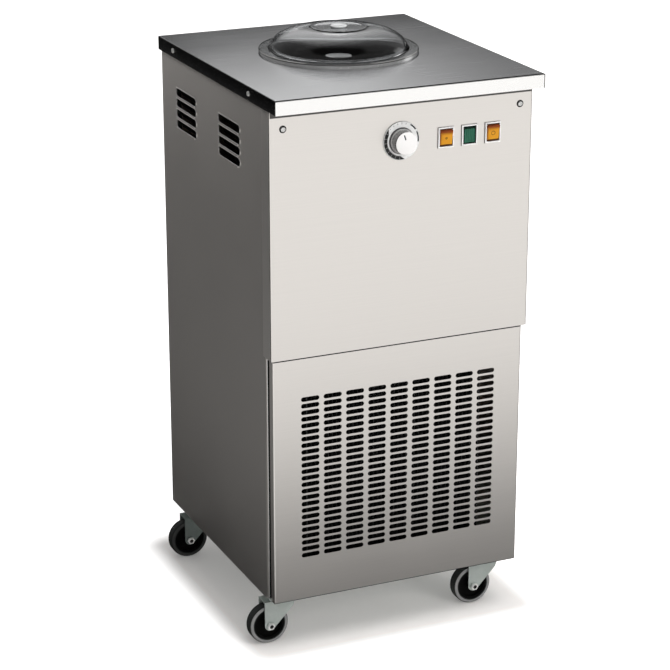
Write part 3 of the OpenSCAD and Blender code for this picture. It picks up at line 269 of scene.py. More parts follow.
# side sheets: painted highlight on the front fold with painted shade on its upper part, and black inside the
# sheet and on the front return as painted shade
side_steel = brushed_steel("side_steel", SHADED_SIDE_TONE, ALONG_Y, 0.36, [
    (lambda x, y, z: y < side_front + FOLD_R, PAINTED_HIGHLIGHT),
    (lambda x, y, z: (y < side_front + FOLD_R) * (z > upper_low.z) * MEDIUM, BLACK),
    (lambda x, y, z: (x.size() < side_inside) * (y > side_front + FOLD), BLACK),
    (lambda x, y, z: (x.size() < lower_high.x + FOLD_GAP) * (y < side_front + FOLD), BLACK)])
rear_steel = brushed_steel("rear_steel", SHADED_SIDE_TONE, ALONG_X, 0.36)
# top plate: painted highlight on the lip's front, a painted dark line at its bend and its right end, and
# painted shade on the lip's sides
top_steel = brushed_steel("top_steel", TOP_TONE, ALONG_X, 0.22, [
    (lambda x, y, z: (y < top_low.y + BEND_FRONT) * (z < top_high.z - BEND_TOP), PAINTED_HIGHLIGHT),
    (lambda x, y, z: (y < top_low.y + BEND_FRONT) * (z > top_high.z - BEND_TOP), BLACK),
    (lambda x, y, z: (y < top_low.y + BEND_FRONT) * (x > top_high.x - EDGE_LINE) * MEDIUM, BLACK),
    (lambda x, y, z: (x.size() > top_high.x - CUT) * (y > top_low.y + BEND_FRONT) * LIP_SHADE, BLACK)])
ring_steel = brushed_steel("ring_steel", RING_TONE, ALONG_Z, 0.22)
print("stainless finishes: 6")

# %% [markdown]
# Zinc plate has a mottled bloom, cast and machined metal a fine even tooth, and copper tarnishes in
# patches. One recipe covers them all: a metal whose colour and roughness follow a noise of the
# right size, with a slight bump. Enamel is the same recipe with no metal in it.

# %% Other metals
MOTTLE_SHARE, SPECK_SCALE, SMOOTHER, ROUGHER = 0.75, 6, 0.06, 0.08
TOOTH_BUMP, TOOTH_DEPTH = 0.08, 0.0003


def worked_metal(name, dark, light, roughness, scale, metallic=1.0, specular=0.5):
    material, shader, place = new_finish(name)
    mottle = place.noise(scale, 5.0)
    specks = place.noise(scale * SPECK_SCALE, 2.0)
    tone = mottle * MOTTLE_SHARE + specks * (1 - MOTTLE_SHARE)
    dress(shader, place,
          Base_Color=tone.tint(rgb(*dark), rgb(*light)),
          Metallic=metallic,
          Specular_IOR_Level=specular,
          Roughness=specks.between(roughness - SMOOTHER, roughness + ROUGHER),
          Normal=specks.bump(TOOTH_BUMP, TOOTH_DEPTH))
    return material


zinc_plate = worked_metal("zinc_plate", (0.32, 0.37, 0.35), (0.62, 0.66, 0.63), 0.38, 30, 0.45)
# a darker copy of the zinc plate: painted shade on the rear forks, and the same dark zinc inside the cabinet
shaded_zinc = worked_metal("shaded_zinc", (0.11, 0.14, 0.13), (0.24, 0.27, 0.26), 0.45, 30, 0.45)
bright_screw = worked_metal("bright_screw", (0.74, 0.74, 0.73), (0.94, 0.94, 0.92), 0.28, 300, 0.6)
black_cup = worked_metal("black_cup", (0.010, 0.010, 0.010), (0.03, 0.03, 0.03), 0.6, 200, 0.0, 0.15)
# near black: painted shade on the steel bowl and paddle that lie in shadow under the lid
shaded_bowl = worked_metal("shaded_bowl", (0.001, 0.001, 0.001), (0.006, 0.006, 0.006), 0.5, 45, 0.0, 0.04)
machined_steel = worked_metal("machined_steel", (0.40, 0.41, 0.42), (0.58, 0.59, 0.60), 0.30, 120)
cast_metal = worked_metal("cast_metal", (0.42, 0.43, 0.44), (0.60, 0.61, 0.62), 0.48, 90)
tarnished_copper = worked_metal("tarnished_copper", (0.45, 0.20, 0.11), (0.74, 0.42, 0.27), 0.38, 40)
black_enamel = worked_metal("black_enamel", (0.012, 0.012, 0.013), (0.03, 0.03, 0.032), 0.42, 70, 0.0)
motor_enamel = worked_metal("motor_enamel", (0.10, 0.13, 0.16), (0.16, 0.20, 0.24), 0.45, 70, 0.0)
print("metal finishes: 10")

# %% [markdown]
# Moulded plastic and rubber have no grain, but they are never one flat colour: the moulding leaves
# a fine orange peel and dust settles in patches. The same recipe serves every colour, and its
# roughness decides whether it reads as gloss plastic or as rubber.

# %% Plastics and rubber
DUST_SCALE, DUST_SMOOTH, DUST_ROUGH = 35.0, 0.05, 0.07
PEEL_BUMP, PEEL_DEPTH = 0.05, 0.0002


def moulded(name, colour, roughness, peel=1800.0, variation=0.06, specular=0.5):
    material, shader, place = new_finish(name)
    dust = place.noise(DUST_SCALE, 4.0)
    dress(shader, place,
          Base_Color=dust.tint(rgb(*colour, 1 - variation), rgb(*colour, 1 + variation)),
          Roughness=dust.between(roughness - DUST_SMOOTH, roughness + DUST_ROUGH),
          Specular_IOR_Level=specular,
          Normal=place.noise(peel, 2.0).bump(PEEL_BUMP, PEEL_DEPTH))
    return material


hub_black = moulded("hub_black", (0.004, 0.004, 0.004), 0.8, variation=0.3, specular=0.03)
black_plastic = moulded("black_plastic", (0.018, 0.018, 0.019), 0.40, variation=0.2)
black_rubber = moulded("black_rubber", (0.022, 0.022, 0.022), 0.75, 900.0, 0.25)
foam_yellow = moulded("foam_yellow", (0.72, 0.64, 0.38), 0.85, 500.0, 0.12)
print("moulded finishes: 4")

# %% [markdown]
# The tyres have a grey band on each side wall, and the tread is black with dirt from the floor. The
# distance from the axle tells them apart, so one recipe serves each wheel when its axle is known. The
# rear wheels' bands are painted nearly black, as painted shade under the cabinet.

# %% Tyre rubber
BAND_START, BAND_FULL, BAND_END = 0.80, 0.84, 0.955
FRONT_GREY, SHADED_REAR_GREY = 0.26, 0.05
TREAD = (0.016, 0.018, 0.017)
CORNERS = ("front_left", "front_right", "rear_left", "rear_right")


def middle(low, high):
    return (low + high) / 2


def tyre_rubber(name, axle, radius, grey):
    material, shader, place = new_finish(name)
    x, _, z = place.axes()
    across = x.away_from(axle.x, z, axle.z)
    band = across.ramp(BAND_START * radius, BAND_FULL * radius) * (across < BAND_END * radius)
    scuff = place.noise(220.0, 4.0)
    dress(shader, place,
          Base_Color=(band * scuff.between(0.7, 1.2)).tint(rgb(*TREAD), rgb(grey, grey, grey)),
          Roughness=scuff.between(0.6, 0.85),
          Specular_IOR_Level=0.2,
          Normal=scuff.bump(0.12, 0.0004))
    return material


tyre_finish = {}
for corner in CORNERS:
    low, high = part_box("tyre_" + corner)
    # the rear bands are darker as painted shade
    grey = FRONT_GREY if "front" in corner else SHADED_REAR_GREY
    tyre_finish[corner] = tyre_rubber("tyre_rubber_" + corner, middle(low, high), (high.z - low.z) / 2, grey)
print("tyre finishes:", len(tyre_finish))

# %% [markdown]
# Every solid that stays in view or can be seen through the grille takes one of these finishes in
# its material slot. A table of finishes and their nodes is easier to check than one line for each.

# %% Finishes on the solids
WEARS = {
    upper_steel: "upper_front_panel",
    lower_steel: "lower_grille_panel",
    side_steel: "left_side_panel right_side_panel",
    rear_steel: "rear_panel",
    top_steel: "top_plate",
    ring_steel: "bowl_ring paddle_nut",
    # the near-black bowl finish is painted shade
    shaded_bowl: "freezing_bowl paddle",
    zinc_plate: "base_plate caster_plates caster_bolts fork_front_left fork_front_right",
    # the darker zinc is painted shade on the rear forks
    shaded_zinc: "inner_frame drive_deck control_box fork_rear_left fork_rear_right",
    machined_steel: "spindle_bearings spindle_shaft motor_shaft",
    cast_metal: "spindle_housing drive_pulley motor_pulley fan_blade",
    tarnished_copper: "evaporator_jacket filter_drier refrigerant_lines",
    foam_yellow: "insulation_shell",
    black_enamel: "compressor condenser fan_motor fan_shroud",
    motor_enamel: "drive_motor",
    black_rubber: "drive_belt compressor_feet shaft_seal",
    black_plastic: "timer_body cable_gland scraper_blades",
    hub_black: "wheel_front_left wheel_front_right wheel_rear_left wheel_rear_right",
}


def wear(node, finish):
    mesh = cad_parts[node].data
    mesh.materials.clear()
    mesh.materials.append(finish)


for finish, names in WEARS.items():
    for node in names.split():
        wear(node, finish)
for corner in CORNERS:
    wear("tyre_" + corner, tyre_finish[corner])
print("solids dressed:", sum(len(names.split()) for names in WEARS.values()) + len(CORNERS))

# %% [markdown]
# A new piece is a bmesh that becomes one object at the origin. Merging doubles closes the seam of a
# spin, and the normals are recalculated after that, so that every face points outwards. Edges
# sharper than a set angle stay crisp while the rest shade smoothly.

# %% Making a piece
MERGE = 1e-6


def make_piece(name, shape, body, finish, stands_for=(), crisp=40.0):
    bmesh.ops.remove_doubles(shape, verts=shape.verts, dist=MERGE)
    bmesh.ops.recalc_face_normals(shape, faces=shape.faces)
    mesh = bpy.data.meshes.new(name)
    shape.to_mesh(mesh)
    shape.free()
    mesh.shade_smooth()
    mesh.set_sharp_from_angle(angle=math.radians(crisp))
    mesh.materials.append(finish)
    made = bpy.data.objects.new(name, mesh)
    scene.collection.objects.link(made)
    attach(made, body)
    if stands_for:
        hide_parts(*stands_for)
    print(name, "faces:", len(mesh.polygons))


def add_copy(shape, part):
    """Adds a finished part to a larger shape."""
    loose = bpy.data.meshes.new("part")
    part.to_mesh(loose)
    part.free()
    shape.from_mesh(loose)
    bpy.data.meshes.remove(loose)


print("piece helpers ready")

# %% [markdown]
# A few moves come back in nearly every piece: spin an outline, start from a block, round an edge, cut
# across, turn about an axis. Each gets a short name here. The operators' defaults differ from the
# editor's, so the bevel spells out all that matters.

# %% Shaping
UP = Vector((0, 0, 1))
BACKWARDS = Vector((0, 1, 0))
ORIGIN = Vector((0, 0, 0))
CUT_NEAR = 1e-7


def lathe(shape, outline, centre, axis, steps):
    """Spins an outline of (radius, distance along the axis) pairs in millimetres round the axis."""
    side = Vector((1, 0, 0)) if abs(axis.x) < 0.5 else Vector((0, 1, 0))
    rim = [shape.verts.new(centre + side * r * MM + axis * along * MM) for r, along in outline]
    lines = [shape.edges.new(pair) for pair in zip(rim, rim[1:])]
    bmesh.ops.spin(shape, geom=rim + lines, cent=centre, axis=axis, angle=2 * math.pi,
                   steps=steps, use_merge=True)


def stepped(radius, along, steps):
    """Outline points that stand off one corner by (outwards, onwards) steps."""
    return [(radius + out, along + on) for out, on in steps]


def block(shape, size, centre):
    corners = bmesh.ops.create_cube(shape, size=1.0)["verts"]
    bmesh.ops.scale(shape, vec=size, verts=corners)
    bmesh.ops.translate(shape, vec=centre, verts=corners)


def soften(shape, edges, width, segments):
    bmesh.ops.bevel(shape, geom=edges, offset=width, offset_type="OFFSET", affect="EDGES",
                    segments=segments, profile=0.5, material=-1)


def once(parts):
    """Each part once, in the order of its first place."""
    return list(dict.fromkeys(parts))


def slice_at(shape, faces, point, normal):
    """Cuts faces along a plane."""
    verts = once(vert for face in faces for vert in face.verts)
    edges = once(edge for face in faces for edge in face.edges)
    bmesh.ops.bisect_plane(shape, geom=verts + edges + list(faces), dist=CUT_NEAR,
                           plane_co=point, plane_no=normal)


def turn(shape, matrix):
    bmesh.ops.rotate(shape, cent=ORIGIN, matrix=matrix, verts=shape.verts)


def shift(shape, vector):
    bmesh.ops.translate(shape, vec=vector, verts=shape.verts)


print("shaping helpers ready")

# %% [markdown]
# The lid is clear plastic, which is a glass shader with a little tint and fine scratches. The edge of
# its flange is made bright metal, a painted highlight line, over a painted shadow line, so a mask by the
# distance from the lid's axis makes that band metallic. A separate ring could do it, but the lid is one
# moulding.

# %% Clear plastic
lid_low, lid_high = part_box("lid_dome")
lid_axis = Vector(((lid_low.x + lid_high.x) / 2, (lid_low.y + lid_high.y) / 2, 0))
FLANGE_R = (lid_high.x - lid_low.x) / 2 / MM
LIP_DROP, EDGE_BAND, GAP_SHADOW = 5.0, 2.0, 1.4


def clear_plastic(name):
    material, shader, place = new_finish(name)
    scratch = place.stretched((300, 300, 60)).noise(1.0, 3.0)
    x, y, z = place.axes()
    edge = x.away_from(lid_axis.x, y, lid_axis.y) > (FLANGE_R - EDGE_BAND) * MM
    # a painted shadow line at the foot of the flange's edge, under its painted highlight
    flange_shadow = edge * (z < lid_low.z + (LIP_DROP + GAP_SHADOW) * MM)
    clear = scratch.tint(rgb(0.82, 0.83, 0.84), rgb(0.88, 0.885, 0.89))
    bright = edge.tint(clear, rgb(*PAINTED_HIGHLIGHT))
    dress(shader, place,
          Base_Color=flange_shadow.tint(bright, rgb(*BLACK)),
          Roughness=scratch.between(0.01, 0.05),
          Metallic=edge,
          Transmission_Weight=1.0,
          IOR=1.42)
    return material


clear_lid = clear_plastic("clear_lid")
print("clear finish ready, flange radius", round(FLANGE_R, 1), "mm")

# %% [markdown]
# The lid has a flat flange, a dome, and a flat top with a raised rim. The solid model draws the dome in
# short cones, which would show as rings in the gloss, so the same outline is spun again here with many
# more points. The outside and the inside are quarter ellipses, one wall apart.

# %% Domed lid
handle_low, handle_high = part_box("lid_knob")
LID_T, LIP_GAP, FLANGE_W, FLAT_R, RIM_W = 3.0, 26.5, 18.0, 50.0, 4.0
UNDER_EDGE, OVER_EDGE, FOOT_FILLET, RIM_EDGE = 0.8, 1.0, 1.2, 0.6
RIM_ROUND = [(0.6, -0.9), (0.0, -0.2), (-0.8, 0.0)]
DOME_STEPS, FOOT_STEPS, DOME_SPIN = 40, 4, 128
flange_z = lid_low.z / MM + LIP_DROP
flange_top = flange_z + LID_T
dome_top, rim_top = handle_low.z / MM, lid_high.z / MM
dome_r, lip_r, rim_in = FLANGE_R - FLANGE_W, FLANGE_R - LIP_GAP, FLAT_R - RIM_W


def quarter(reach, rise, base, steps):
    """Points of a quarter ellipse between the dome's foot and the edge of the flat top."""
    angles = [math.pi / 2 * step / DOME_STEPS for step in steps]
    return [(FLAT_R + reach * math.cos(a), base + rise * math.sin(a)) for a in angles]


flange = [(lip_r, flange_z), (FLANGE_R - UNDER_EDGE, flange_z), (FLANGE_R, flange_z + UNDER_EDGE),
          (FLANGE_R, flange_top - OVER_EDGE), (FLANGE_R - OVER_EDGE, flange_top),
          (dome_r + FOOT_FILLET, flange_top)]
outside = quarter(dome_r - FLAT_R, dome_top - flange_z, flange_z, range(FOOT_STEPS, DOME_STEPS))
rim = stepped(FLAT_R, rim_top, RIM_ROUND)
rim += [(rim_in + RIM_EDGE, rim_top), (rim_in, rim_top - RIM_EDGE), (rim_in, dome_top)]
crown = [(0.0, dome_top), (0.0, dome_top - LID_T)]
inside = quarter(dome_r - LID_T - FLAT_R, dome_top - flange_z - 2 * LID_T, flange_top,
                 range(DOME_STEPS, -1, -1))
lip = [(lip_r - LID_T, flange_top), (lip_r - LID_T, flange_z - LIP_DROP), (lip_r, flange_z - LIP_DROP),
       (lip_r, flange_z)]
dome = bmesh.new()
lathe(dome, flange + outside + rim + crown + inside + lip, lid_axis, UP, DOME_SPIN)
make_piece("clear_dome", dome, "lid", clear_lid, ["lid_dome"], 32.0)

# %% [markdown]
# A small disc in the middle of the lid's flat top serves as its handle. It is turned with a rounded
# edge and a shallow dish, so that it catches the light as a ring.

# %% Lid disc
DISC_TAPER, DISH_DEEP, DISC_SPIN = 1.5, 0.9, 64
DISC_EDGE = [(0.0, -1.6), (-0.5, -0.5), (-1.6, 0.0), (-4.5, 0.0), (-6.5, -DISH_DEEP)]
disc_r = (handle_high.x - handle_low.x) / 2 / MM
disc_top = handle_high.z / MM
disc_outline = [(0, dome_top), (disc_r - DISC_TAPER, dome_top)]
disc_outline += stepped(disc_r, disc_top, DISC_EDGE) + [(0, disc_top - DISH_DEEP)]
disc = bmesh.new()
lathe(disc, disc_outline, lid_axis, UP, DISC_SPIN)
frosted_disc = moulded("frosted_disc", (0.66, 0.67, 0.67), 0.25)
make_piece("lid_disc", disc, "lid", frosted_disc, ["lid_knob"])

# %% [markdown]
# The timer's knob has a fluted grip, a skirt next to the dial and a flat white face. The grip is greyer
# than the face, and painted shade darkens the band behind the face and the foot at the dial. Each part
# could have a material of its own, but it is one moulding, and the depth of the point tells its parts apart.

# %% Knob plastic
knob_low, knob_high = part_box("timer_knob")
knob_axis = Vector(((knob_low.x + knob_high.x) / 2, 0, (knob_low.z + knob_high.z) / 2))
face_y, seat_y = knob_low.y / MM, knob_high.y / MM
GRIP_START, GROOVE, FOOT_BAND, RING_TURNS = 5.0, (0.9, 5.5), 2.4, 1.6
KNOB_WHITE, KNOB_GREY, KNOB_SHADE = (0.84, 0.83, 0.82), (0.10, 0.10, 0.10), (0.02, 0.02, 0.02)


def knob_plastic():
    material, shader, place = new_finish("knob_plastic")
    depth = place.axes()[1] * (1 / MM)
    rings = (depth * RING_TURNS).math("SINE")
    grip = (depth > face_y + GRIP_START) * rings.between(0.66, 0.80)
    # painted shade behind the face's edge and at the foot
    groove_and_foot_shade = depth.within(face_y + GROOVE[0], face_y + GROOVE[1]).most(depth > seat_y - FOOT_BAND)
    dress(shader, place,
          Base_Color=groove_and_foot_shade.tint(grip.tint(rgb(*KNOB_WHITE), rgb(*KNOB_GREY)), rgb(*KNOB_SHADE)),
          Roughness=place.noise(60.0, 3.0).between(0.32, 0.46))
    return material


print("knob from", round(seat_y, 1), "to", round(face_y, 1), "mm")

# %% [markdown]
# A lathe makes the knob, from the skirt to the rounded edge of its face. A boolean could cut the flutes,
# but pulling two of every five rows of points on the grip towards the axis needs no cut.

# %% Timer knob
SKIRT_W, GRIP_IN, GRIP_FOOT, GRIP_TOP = 2.0, 0.6, 3.4, 3.0
SKIRT_EDGE = [(-0.5, 0.0), (0.0, -0.6), (0.0, -2.0), (-0.8, -3.0)]
FACE_EDGE = [(0.0, 2.4), (0.0, 1.2), (-0.35, 0.35), (-1.2, 0.0)]
FLUTES, FLUTE_STEPS, FLUTE_ROWS, FLUTE_DEPTH, ON_GRIP = 30, 5, (2, 3), 0.055, 0.05
skirt_r = (knob_high.x - knob_low.x) / 2 / MM
face_r = skirt_r - SKIRT_W
grip_r = face_r - GRIP_IN
knob_steps = FLUTES * FLUTE_STEPS
knob_outline = [(0, seat_y)] + stepped(skirt_r, seat_y, SKIRT_EDGE)
knob_outline += [(grip_r, seat_y - GRIP_FOOT), (grip_r, face_y + GRIP_TOP)]
knob_outline += stepped(face_r, face_y, FACE_EDGE) + [(0, face_y)]
knob = bmesh.new()
lathe(knob, knob_outline, knob_axis, BACKWARDS, knob_steps)
for vert in knob.verts:
    arm = vert.co - Vector((knob_axis.x, vert.co.y, knob_axis.z))
    row = round(math.atan2(arm.x, arm.z) / (2 * math.pi) * knob_steps) % FLUTE_STEPS
    if abs(arm.length / MM - grip_r) < ON_GRIP and row in FLUTE_ROWS:
        vert.co -= arm * FLUTE_DEPTH
make_piece("knob_body", knob, "knob", knob_plastic(), ["timer_knob"], 30.0)

# %% [markdown]
# The pointer is a black line let into the knob's face. A thin bar with rounded ends is sunk into the
# face, a little proud of it, turned to the left as in the photograph.

# %% Knob pointer
POINTER_TILT = math.radians(-18)
POINTER_SIZE = (2.4 * MM, 0.5 * MM, 9.5 * MM)
POINTER_OUT, POINTER_SUNK, POINTER_BEVEL = 11.4 * MM, 0.2 * MM, 0.2 * MM
pointer = bmesh.new()
block(pointer, POINTER_SIZE, (0, 0, POINTER_OUT))
soften(pointer, list(pointer.edges), POINTER_BEVEL, 2)
turn(pointer, Matrix.Rotation(POINTER_TILT, 3, "Y"))
shift(pointer, (knob_axis.x, face_y * MM + POINTER_SUNK, knob_axis.z))
make_piece("knob_pointer", pointer, "knob", black_plastic)

# %% [markdown]
# The dial is a white disc with a black crescent scale. The scale could be thin plates, but print has
# no thickness, so the finish works it out from the angle and the distance to the dial's centre:
# clock angles in degrees turn a crescent, an arc and a row of ticks on and off. A painted shadow
# rings the knob's foot, and the dial's edge is darker.

# %% Dial print
dial_low, dial_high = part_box("timer_dial")
dial_r = (dial_high.x - dial_low.x) / 2 / MM
SCALE_R = dial_r - 1.2
SCALE_START, SCALE_SWEEP, SCALE_W, SCALE_SWELL = 314.0, 146.0, 6.4, 3.0
GAP_PITCH, GAP_W, GAP_INK = 16.0, 1.2, 0.5
ARC, ARC_GAP, ARC_W = (32.0, 98.0), (56.0, 64.0), 2.4
TICKS, TICK_PITCH, TICK_W, TICK_IN, TICK_INK = (-62.0, 28.0), 15.0, 2.4, (4.0, 1.0), 0.55
FOOT_W, KNOB_FOOT_SHADE, EDGE_W, DIAL_EDGE_DARK = 1.3, 0.85, 0.8, 0.45
DIAL_WHITE, DIAL_INK = (0.95, 0.95, 0.94), (0.010, 0.010, 0.010)


def from_point(place, centre_x, centre_z):
    """Millimetres to the right of a point on the front, and above it."""
    x, _, z = place.axes()
    return (x - centre_x) * (1 / MM), (z - centre_z) * (1 / MM)


def dial_print():
    material, shader, place = new_finish("dial_print")
    right, rise = from_point(place, knob_axis.x, knob_axis.z)
    distance = right.away_from(0.0, rise, 0.0)
    clock = right.math("ARCTAN2", rise) * (180 / math.pi)
    along = (SCALE_START - clock).math("MODULO", 360.0)
    width = ((along * (math.pi / SCALE_SWEEP)).math("SINE") * SCALE_SWELL).math("MINIMUM", 1.0) * SCALE_W
    crescent = (along < SCALE_SWEEP) * (distance > SCALE_R - width) * (distance < SCALE_R)
    crescent = crescent * (1.0 - (along.math("MODULO", GAP_PITCH) < GAP_W) * GAP_INK)
    arc = clock.within(*ARC) * (1.0 - clock.within(*ARC_GAP)) * distance.within(SCALE_R - ARC_W, SCALE_R)
    ticks = clock.within(*TICKS) * distance.within(SCALE_R - TICK_IN[0], SCALE_R - TICK_IN[1])
    ticks = ticks * ((clock + 90.0).math("MODULO", TICK_PITCH) < TICK_W) * TICK_INK
    # a painted shadow round the knob's foot, and a darker edge
    foot = (distance < skirt_r + FOOT_W) * KNOB_FOOT_SHADE
    edge = (distance > dial_r - EDGE_W) * DIAL_EDGE_DARK
    ink_and_shade = crescent.most(arc).most(ticks).most(foot).most(edge)
    dress(shader, place,
          Base_Color=ink_and_shade.tint(rgb(*DIAL_WHITE), rgb(*DIAL_INK)),
          Roughness=place.noise(90.0, 3.0).between(0.35, 0.5))
    return material


print("dial radius", round(dial_r, 1), "mm")

# %% [markdown]
# The dial itself is a turned plate with a bead at its edge and a slightly sunk face, so a lathe suits it.

# %% Timer dial
DIAL_SUNK, DIAL_SPIN = 0.4, 128
DIAL_EDGE = [(0.0, 0.9), (-0.3, 0.3), (-0.9, 0.0), (-1.6, DIAL_SUNK)]
back_y, front_y = dial_high.y / MM, dial_low.y / MM
dial_outline = [(0, back_y), (dial_r, back_y)]
dial_outline += stepped(dial_r, front_y, DIAL_EDGE) + [(0, front_y + DIAL_SUNK)]
dial = bmesh.new()
lathe(dial, dial_outline, knob_axis, BACKWARDS, DIAL_SPIN)
make_piece("dial_plate", dial, "cabinet", dial_print(), ["timer_dial"])

# %% [markdown]
# Each switch snaps into the panel with a white frame. A cube is thinned to a plate, its front edges
# are bevelled, and its front face is inset and pushed back to make the window. The same shape is
# made three times along the row. Painted shade darkens the flanks, which the depth of the point tells.

# %% Switch frames
row_low, row_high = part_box("switch_housings")
first_x = middle(*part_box("rocker_left")).x
switch_pitch = middle(row_low, row_high).x - first_x
switch_z = middle(row_low, row_high).z
panel_y = upper_low.y
FRAME_W, FRAME_H, FRAME_T = 30 * MM, row_high.z - row_low.z, panel_y - row_low.y
WINDOW_W, WINDOW_DEEP, FRAME_BEVEL, FACE_DEPTH = 24 * MM, 14 * MM, 1.1 * MM, 1.3 * MM


def frame_plastic():
    material, shader, place = new_finish("frame_plastic")
    # painted shade on every face behind the front
    flank_shade = place.axes()[1] > row_low.y + FACE_DEPTH
    dust = place.noise(80.0, 3.0)
    dress(shader, place,
          Base_Color=(flank_shade * 0.95 + dust * 0.05).tint(rgb(0.93, 0.92, 0.91), rgb(0.03, 0.025, 0.02)),
          Roughness=dust.between(0.3, 0.42))
    return material


def front_face(shape):
    return min(shape.faces, key=lambda face: face.calc_center_median().y)


def switch_frame(x):
    plate = bmesh.new()
    block(plate, (FRAME_W, FRAME_T, FRAME_H), (x, panel_y - FRAME_T / 2, switch_z))
    soften(plate, list(front_face(plate).edges), FRAME_BEVEL, 3)
    window = front_face(plate)
    bmesh.ops.inset_individual(plate, faces=[window], thickness=(FRAME_W - WINDOW_W) / 2 - FRAME_BEVEL)
    floor = bmesh.ops.extrude_discrete_faces(plate, faces=[window])["faces"][0]
    bmesh.ops.translate(plate, vec=(0, WINDOW_DEEP, 0), verts=floor.verts)
    return plate


frames = bmesh.new()
for place_in_row in range(3):
    add_copy(frames, switch_frame(first_x + place_in_row * switch_pitch))
make_piece("switch_frames", frames, "cabinet", frame_plastic(), ["switch_housings"], 35.0)

# %% [markdown]
# The rockers are amber and let some light in. Their colour darkens towards the upper edge and the
# left side and in a line at the foot, which is painted shade, and a small plain mark tells one position
# from the other: a dot or a ring.

# %% Amber plastic
AMBER, AMBER_SHADE, MARK_BROWN = (0.74, 0.34, 0.02), (0.24, 0.05, 0.01), (0.05, 0.015, 0.006)
SHADE_TOP, SHADE_LEFT, SHADE_SIDE, HAZE_SHARE = (3.0, 12.5), (-7.0, -11.5), 0.6, 0.25
MARK_Z, RING, DOT_R, MARK_INK, FOOT_Z, ROCKER_FOOT_SHADE = -1.0, (2.6, 4.2), 2.4, 0.6, -12.0, 0.95


def amber_plastic(name, centre_x, ring):
    material, shader, place = new_finish(name)
    right, rise = from_point(place, centre_x, switch_z)
    haze = place.noise(70.0, 3.0)
    # painted shade towards the top and the left side
    top_and_left_shade = rise.ramp(*SHADE_TOP).most(right.ramp(*SHADE_LEFT) * SHADE_SIDE)
    body = (top_and_left_shade + haze * HAZE_SHARE).tint(rgb(*AMBER), rgb(*AMBER_SHADE))
    away = right.away_from(0.0, rise, MARK_Z)
    mark = away.within(*RING) if ring else away < DOT_R
    # a painted shade line at the foot, over the printed mark
    lines = (mark * MARK_INK).most((rise < FOOT_Z) * ROCKER_FOOT_SHADE)
    dress(shader, place,
          Base_Color=lines.tint(body, rgb(*MARK_BROWN)),
          Roughness=haze.between(0.34, 0.46),
          Specular_IOR_Level=0.1)
    return material


print("amber finish ready")

# %% [markdown]
# A rocker is a block whose face dips in the middle, tilted on its pivot with the upper half out.
# Three cuts across the face and a small push give the dip, and the bevel softens every edge that a
# finger meets. It is shaped square first and tilted into place last.

# %% Rockers
ROCKER_TILT = math.radians(10)
PIVOT_Y = panel_y + 2 * MM
ROCKER_W, ROCKER_H, ROCKER_FRONT, ROCKER_BACK = 23.2 * MM, 27.5 * MM, 6.6 * MM, 5.0 * MM
ROCKER_CUTS, ROCKER_DIP, ROCKER_BEVEL, SHARP = (-0.25, 0.0, 0.25), 1.1 * MM, 0.7 * MM, math.radians(50)


def rocker_shape(x):
    shape = bmesh.new()
    block(shape, (ROCKER_W, ROCKER_FRONT + ROCKER_BACK, ROCKER_H), (0, (ROCKER_BACK - ROCKER_FRONT) / 2, 0))
    for height in ROCKER_CUTS:
        slice_at(shape, shape.faces, (0, 0, height * ROCKER_H), UP)
    for vert in shape.verts:
        if vert.co.y < 0:
            vert.co.y += ROCKER_DIP * (1 - (2 * vert.co.z / ROCKER_H) ** 2)
    soften(shape, [edge for edge in shape.edges if edge.calc_face_angle(0.0) > SHARP], ROCKER_BEVEL, 3)
    turn(shape, Matrix.Rotation(ROCKER_TILT, 3, "X"))
    shift(shape, (x, PIVOT_Y, switch_z))
    return shape


for side, x, ring in (("left", first_x, False), ("right", first_x + 2 * switch_pitch, True)):
    amber = amber_plastic("amber_" + side, x, ring)
    make_piece("rocker_cap_" + side, rocker_shape(x), "switch_" + side, amber,
               ["rocker_" + side], 30.0)

# %% [markdown]
# The pilot lamp between the switches is green, with upright ribs that spread its light. The lens is
# a plate whose front is cut into strips, and every other strip is pushed out and narrowed. The dark
# edge of the window is painted shade in the finish.

# %% Pilot lamp
LENS_RIBS, LENS_DEEP, RIB_ROOM, RIB_OUT, RIB_TAPER = 13, 14 * MM, 1.0 * MM, 0.9 * MM, (0.6, 1, 0.94)
WINDOW_HALF, WINDOW_TOP, WINDOW_FOOT = 9.8, 10.6, -13.0
lens_low, lens_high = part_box("lamp_lens")
lens_w = lens_high.x - lens_low.x
lamp_x = first_x + switch_pitch


def lamp_green():
    material, shader, place = new_finish("lamp_green")
    right, rise = from_point(place, lamp_x, switch_z)
    # painted shade at the edge of the window
    rim = (right.size() > WINDOW_HALF).most(rise > WINDOW_TOP).most(rise < WINDOW_FOOT)
    depth = place.noise(110.0, 3.0)
    dress(shader, place,
          Base_Color=(rim * 0.9 + depth * 0.1).tint(rgb(0.042, 0.155, 0.100), rgb(0.004, 0.010, 0.008)),
          Roughness=depth.between(0.35, 0.48),
          Specular_IOR_Level=0.05)
    return material


window = bmesh.new()
block(window, (lens_w, LENS_DEEP, lens_high.z - lens_low.z),
      (lamp_x, lens_low.y + RIB_ROOM + LENS_DEEP / 2, switch_z))
for cut in range(1, LENS_RIBS):
    slice_at(window, window.faces, (lens_low.x + lens_w * cut / LENS_RIBS, 0, 0), (1, 0, 0))
strips = [face for face in window.faces if face.normal.y < -0.9]
strips.sort(key=lambda face: face.calc_center_median().x)
for rib in bmesh.ops.extrude_discrete_faces(window, faces=strips[1::2])["faces"]:
    bmesh.ops.translate(window, vec=(0, -RIB_OUT, 0), verts=rib.verts)
    about_rib = Matrix.Translation(-rib.calc_center_median())
    bmesh.ops.scale(window, vec=RIB_TAPER, verts=rib.verts, space=about_rib)
make_piece("lamp_window", window, "cabinet", lamp_green(), ["lamp_lens"], 30.0)

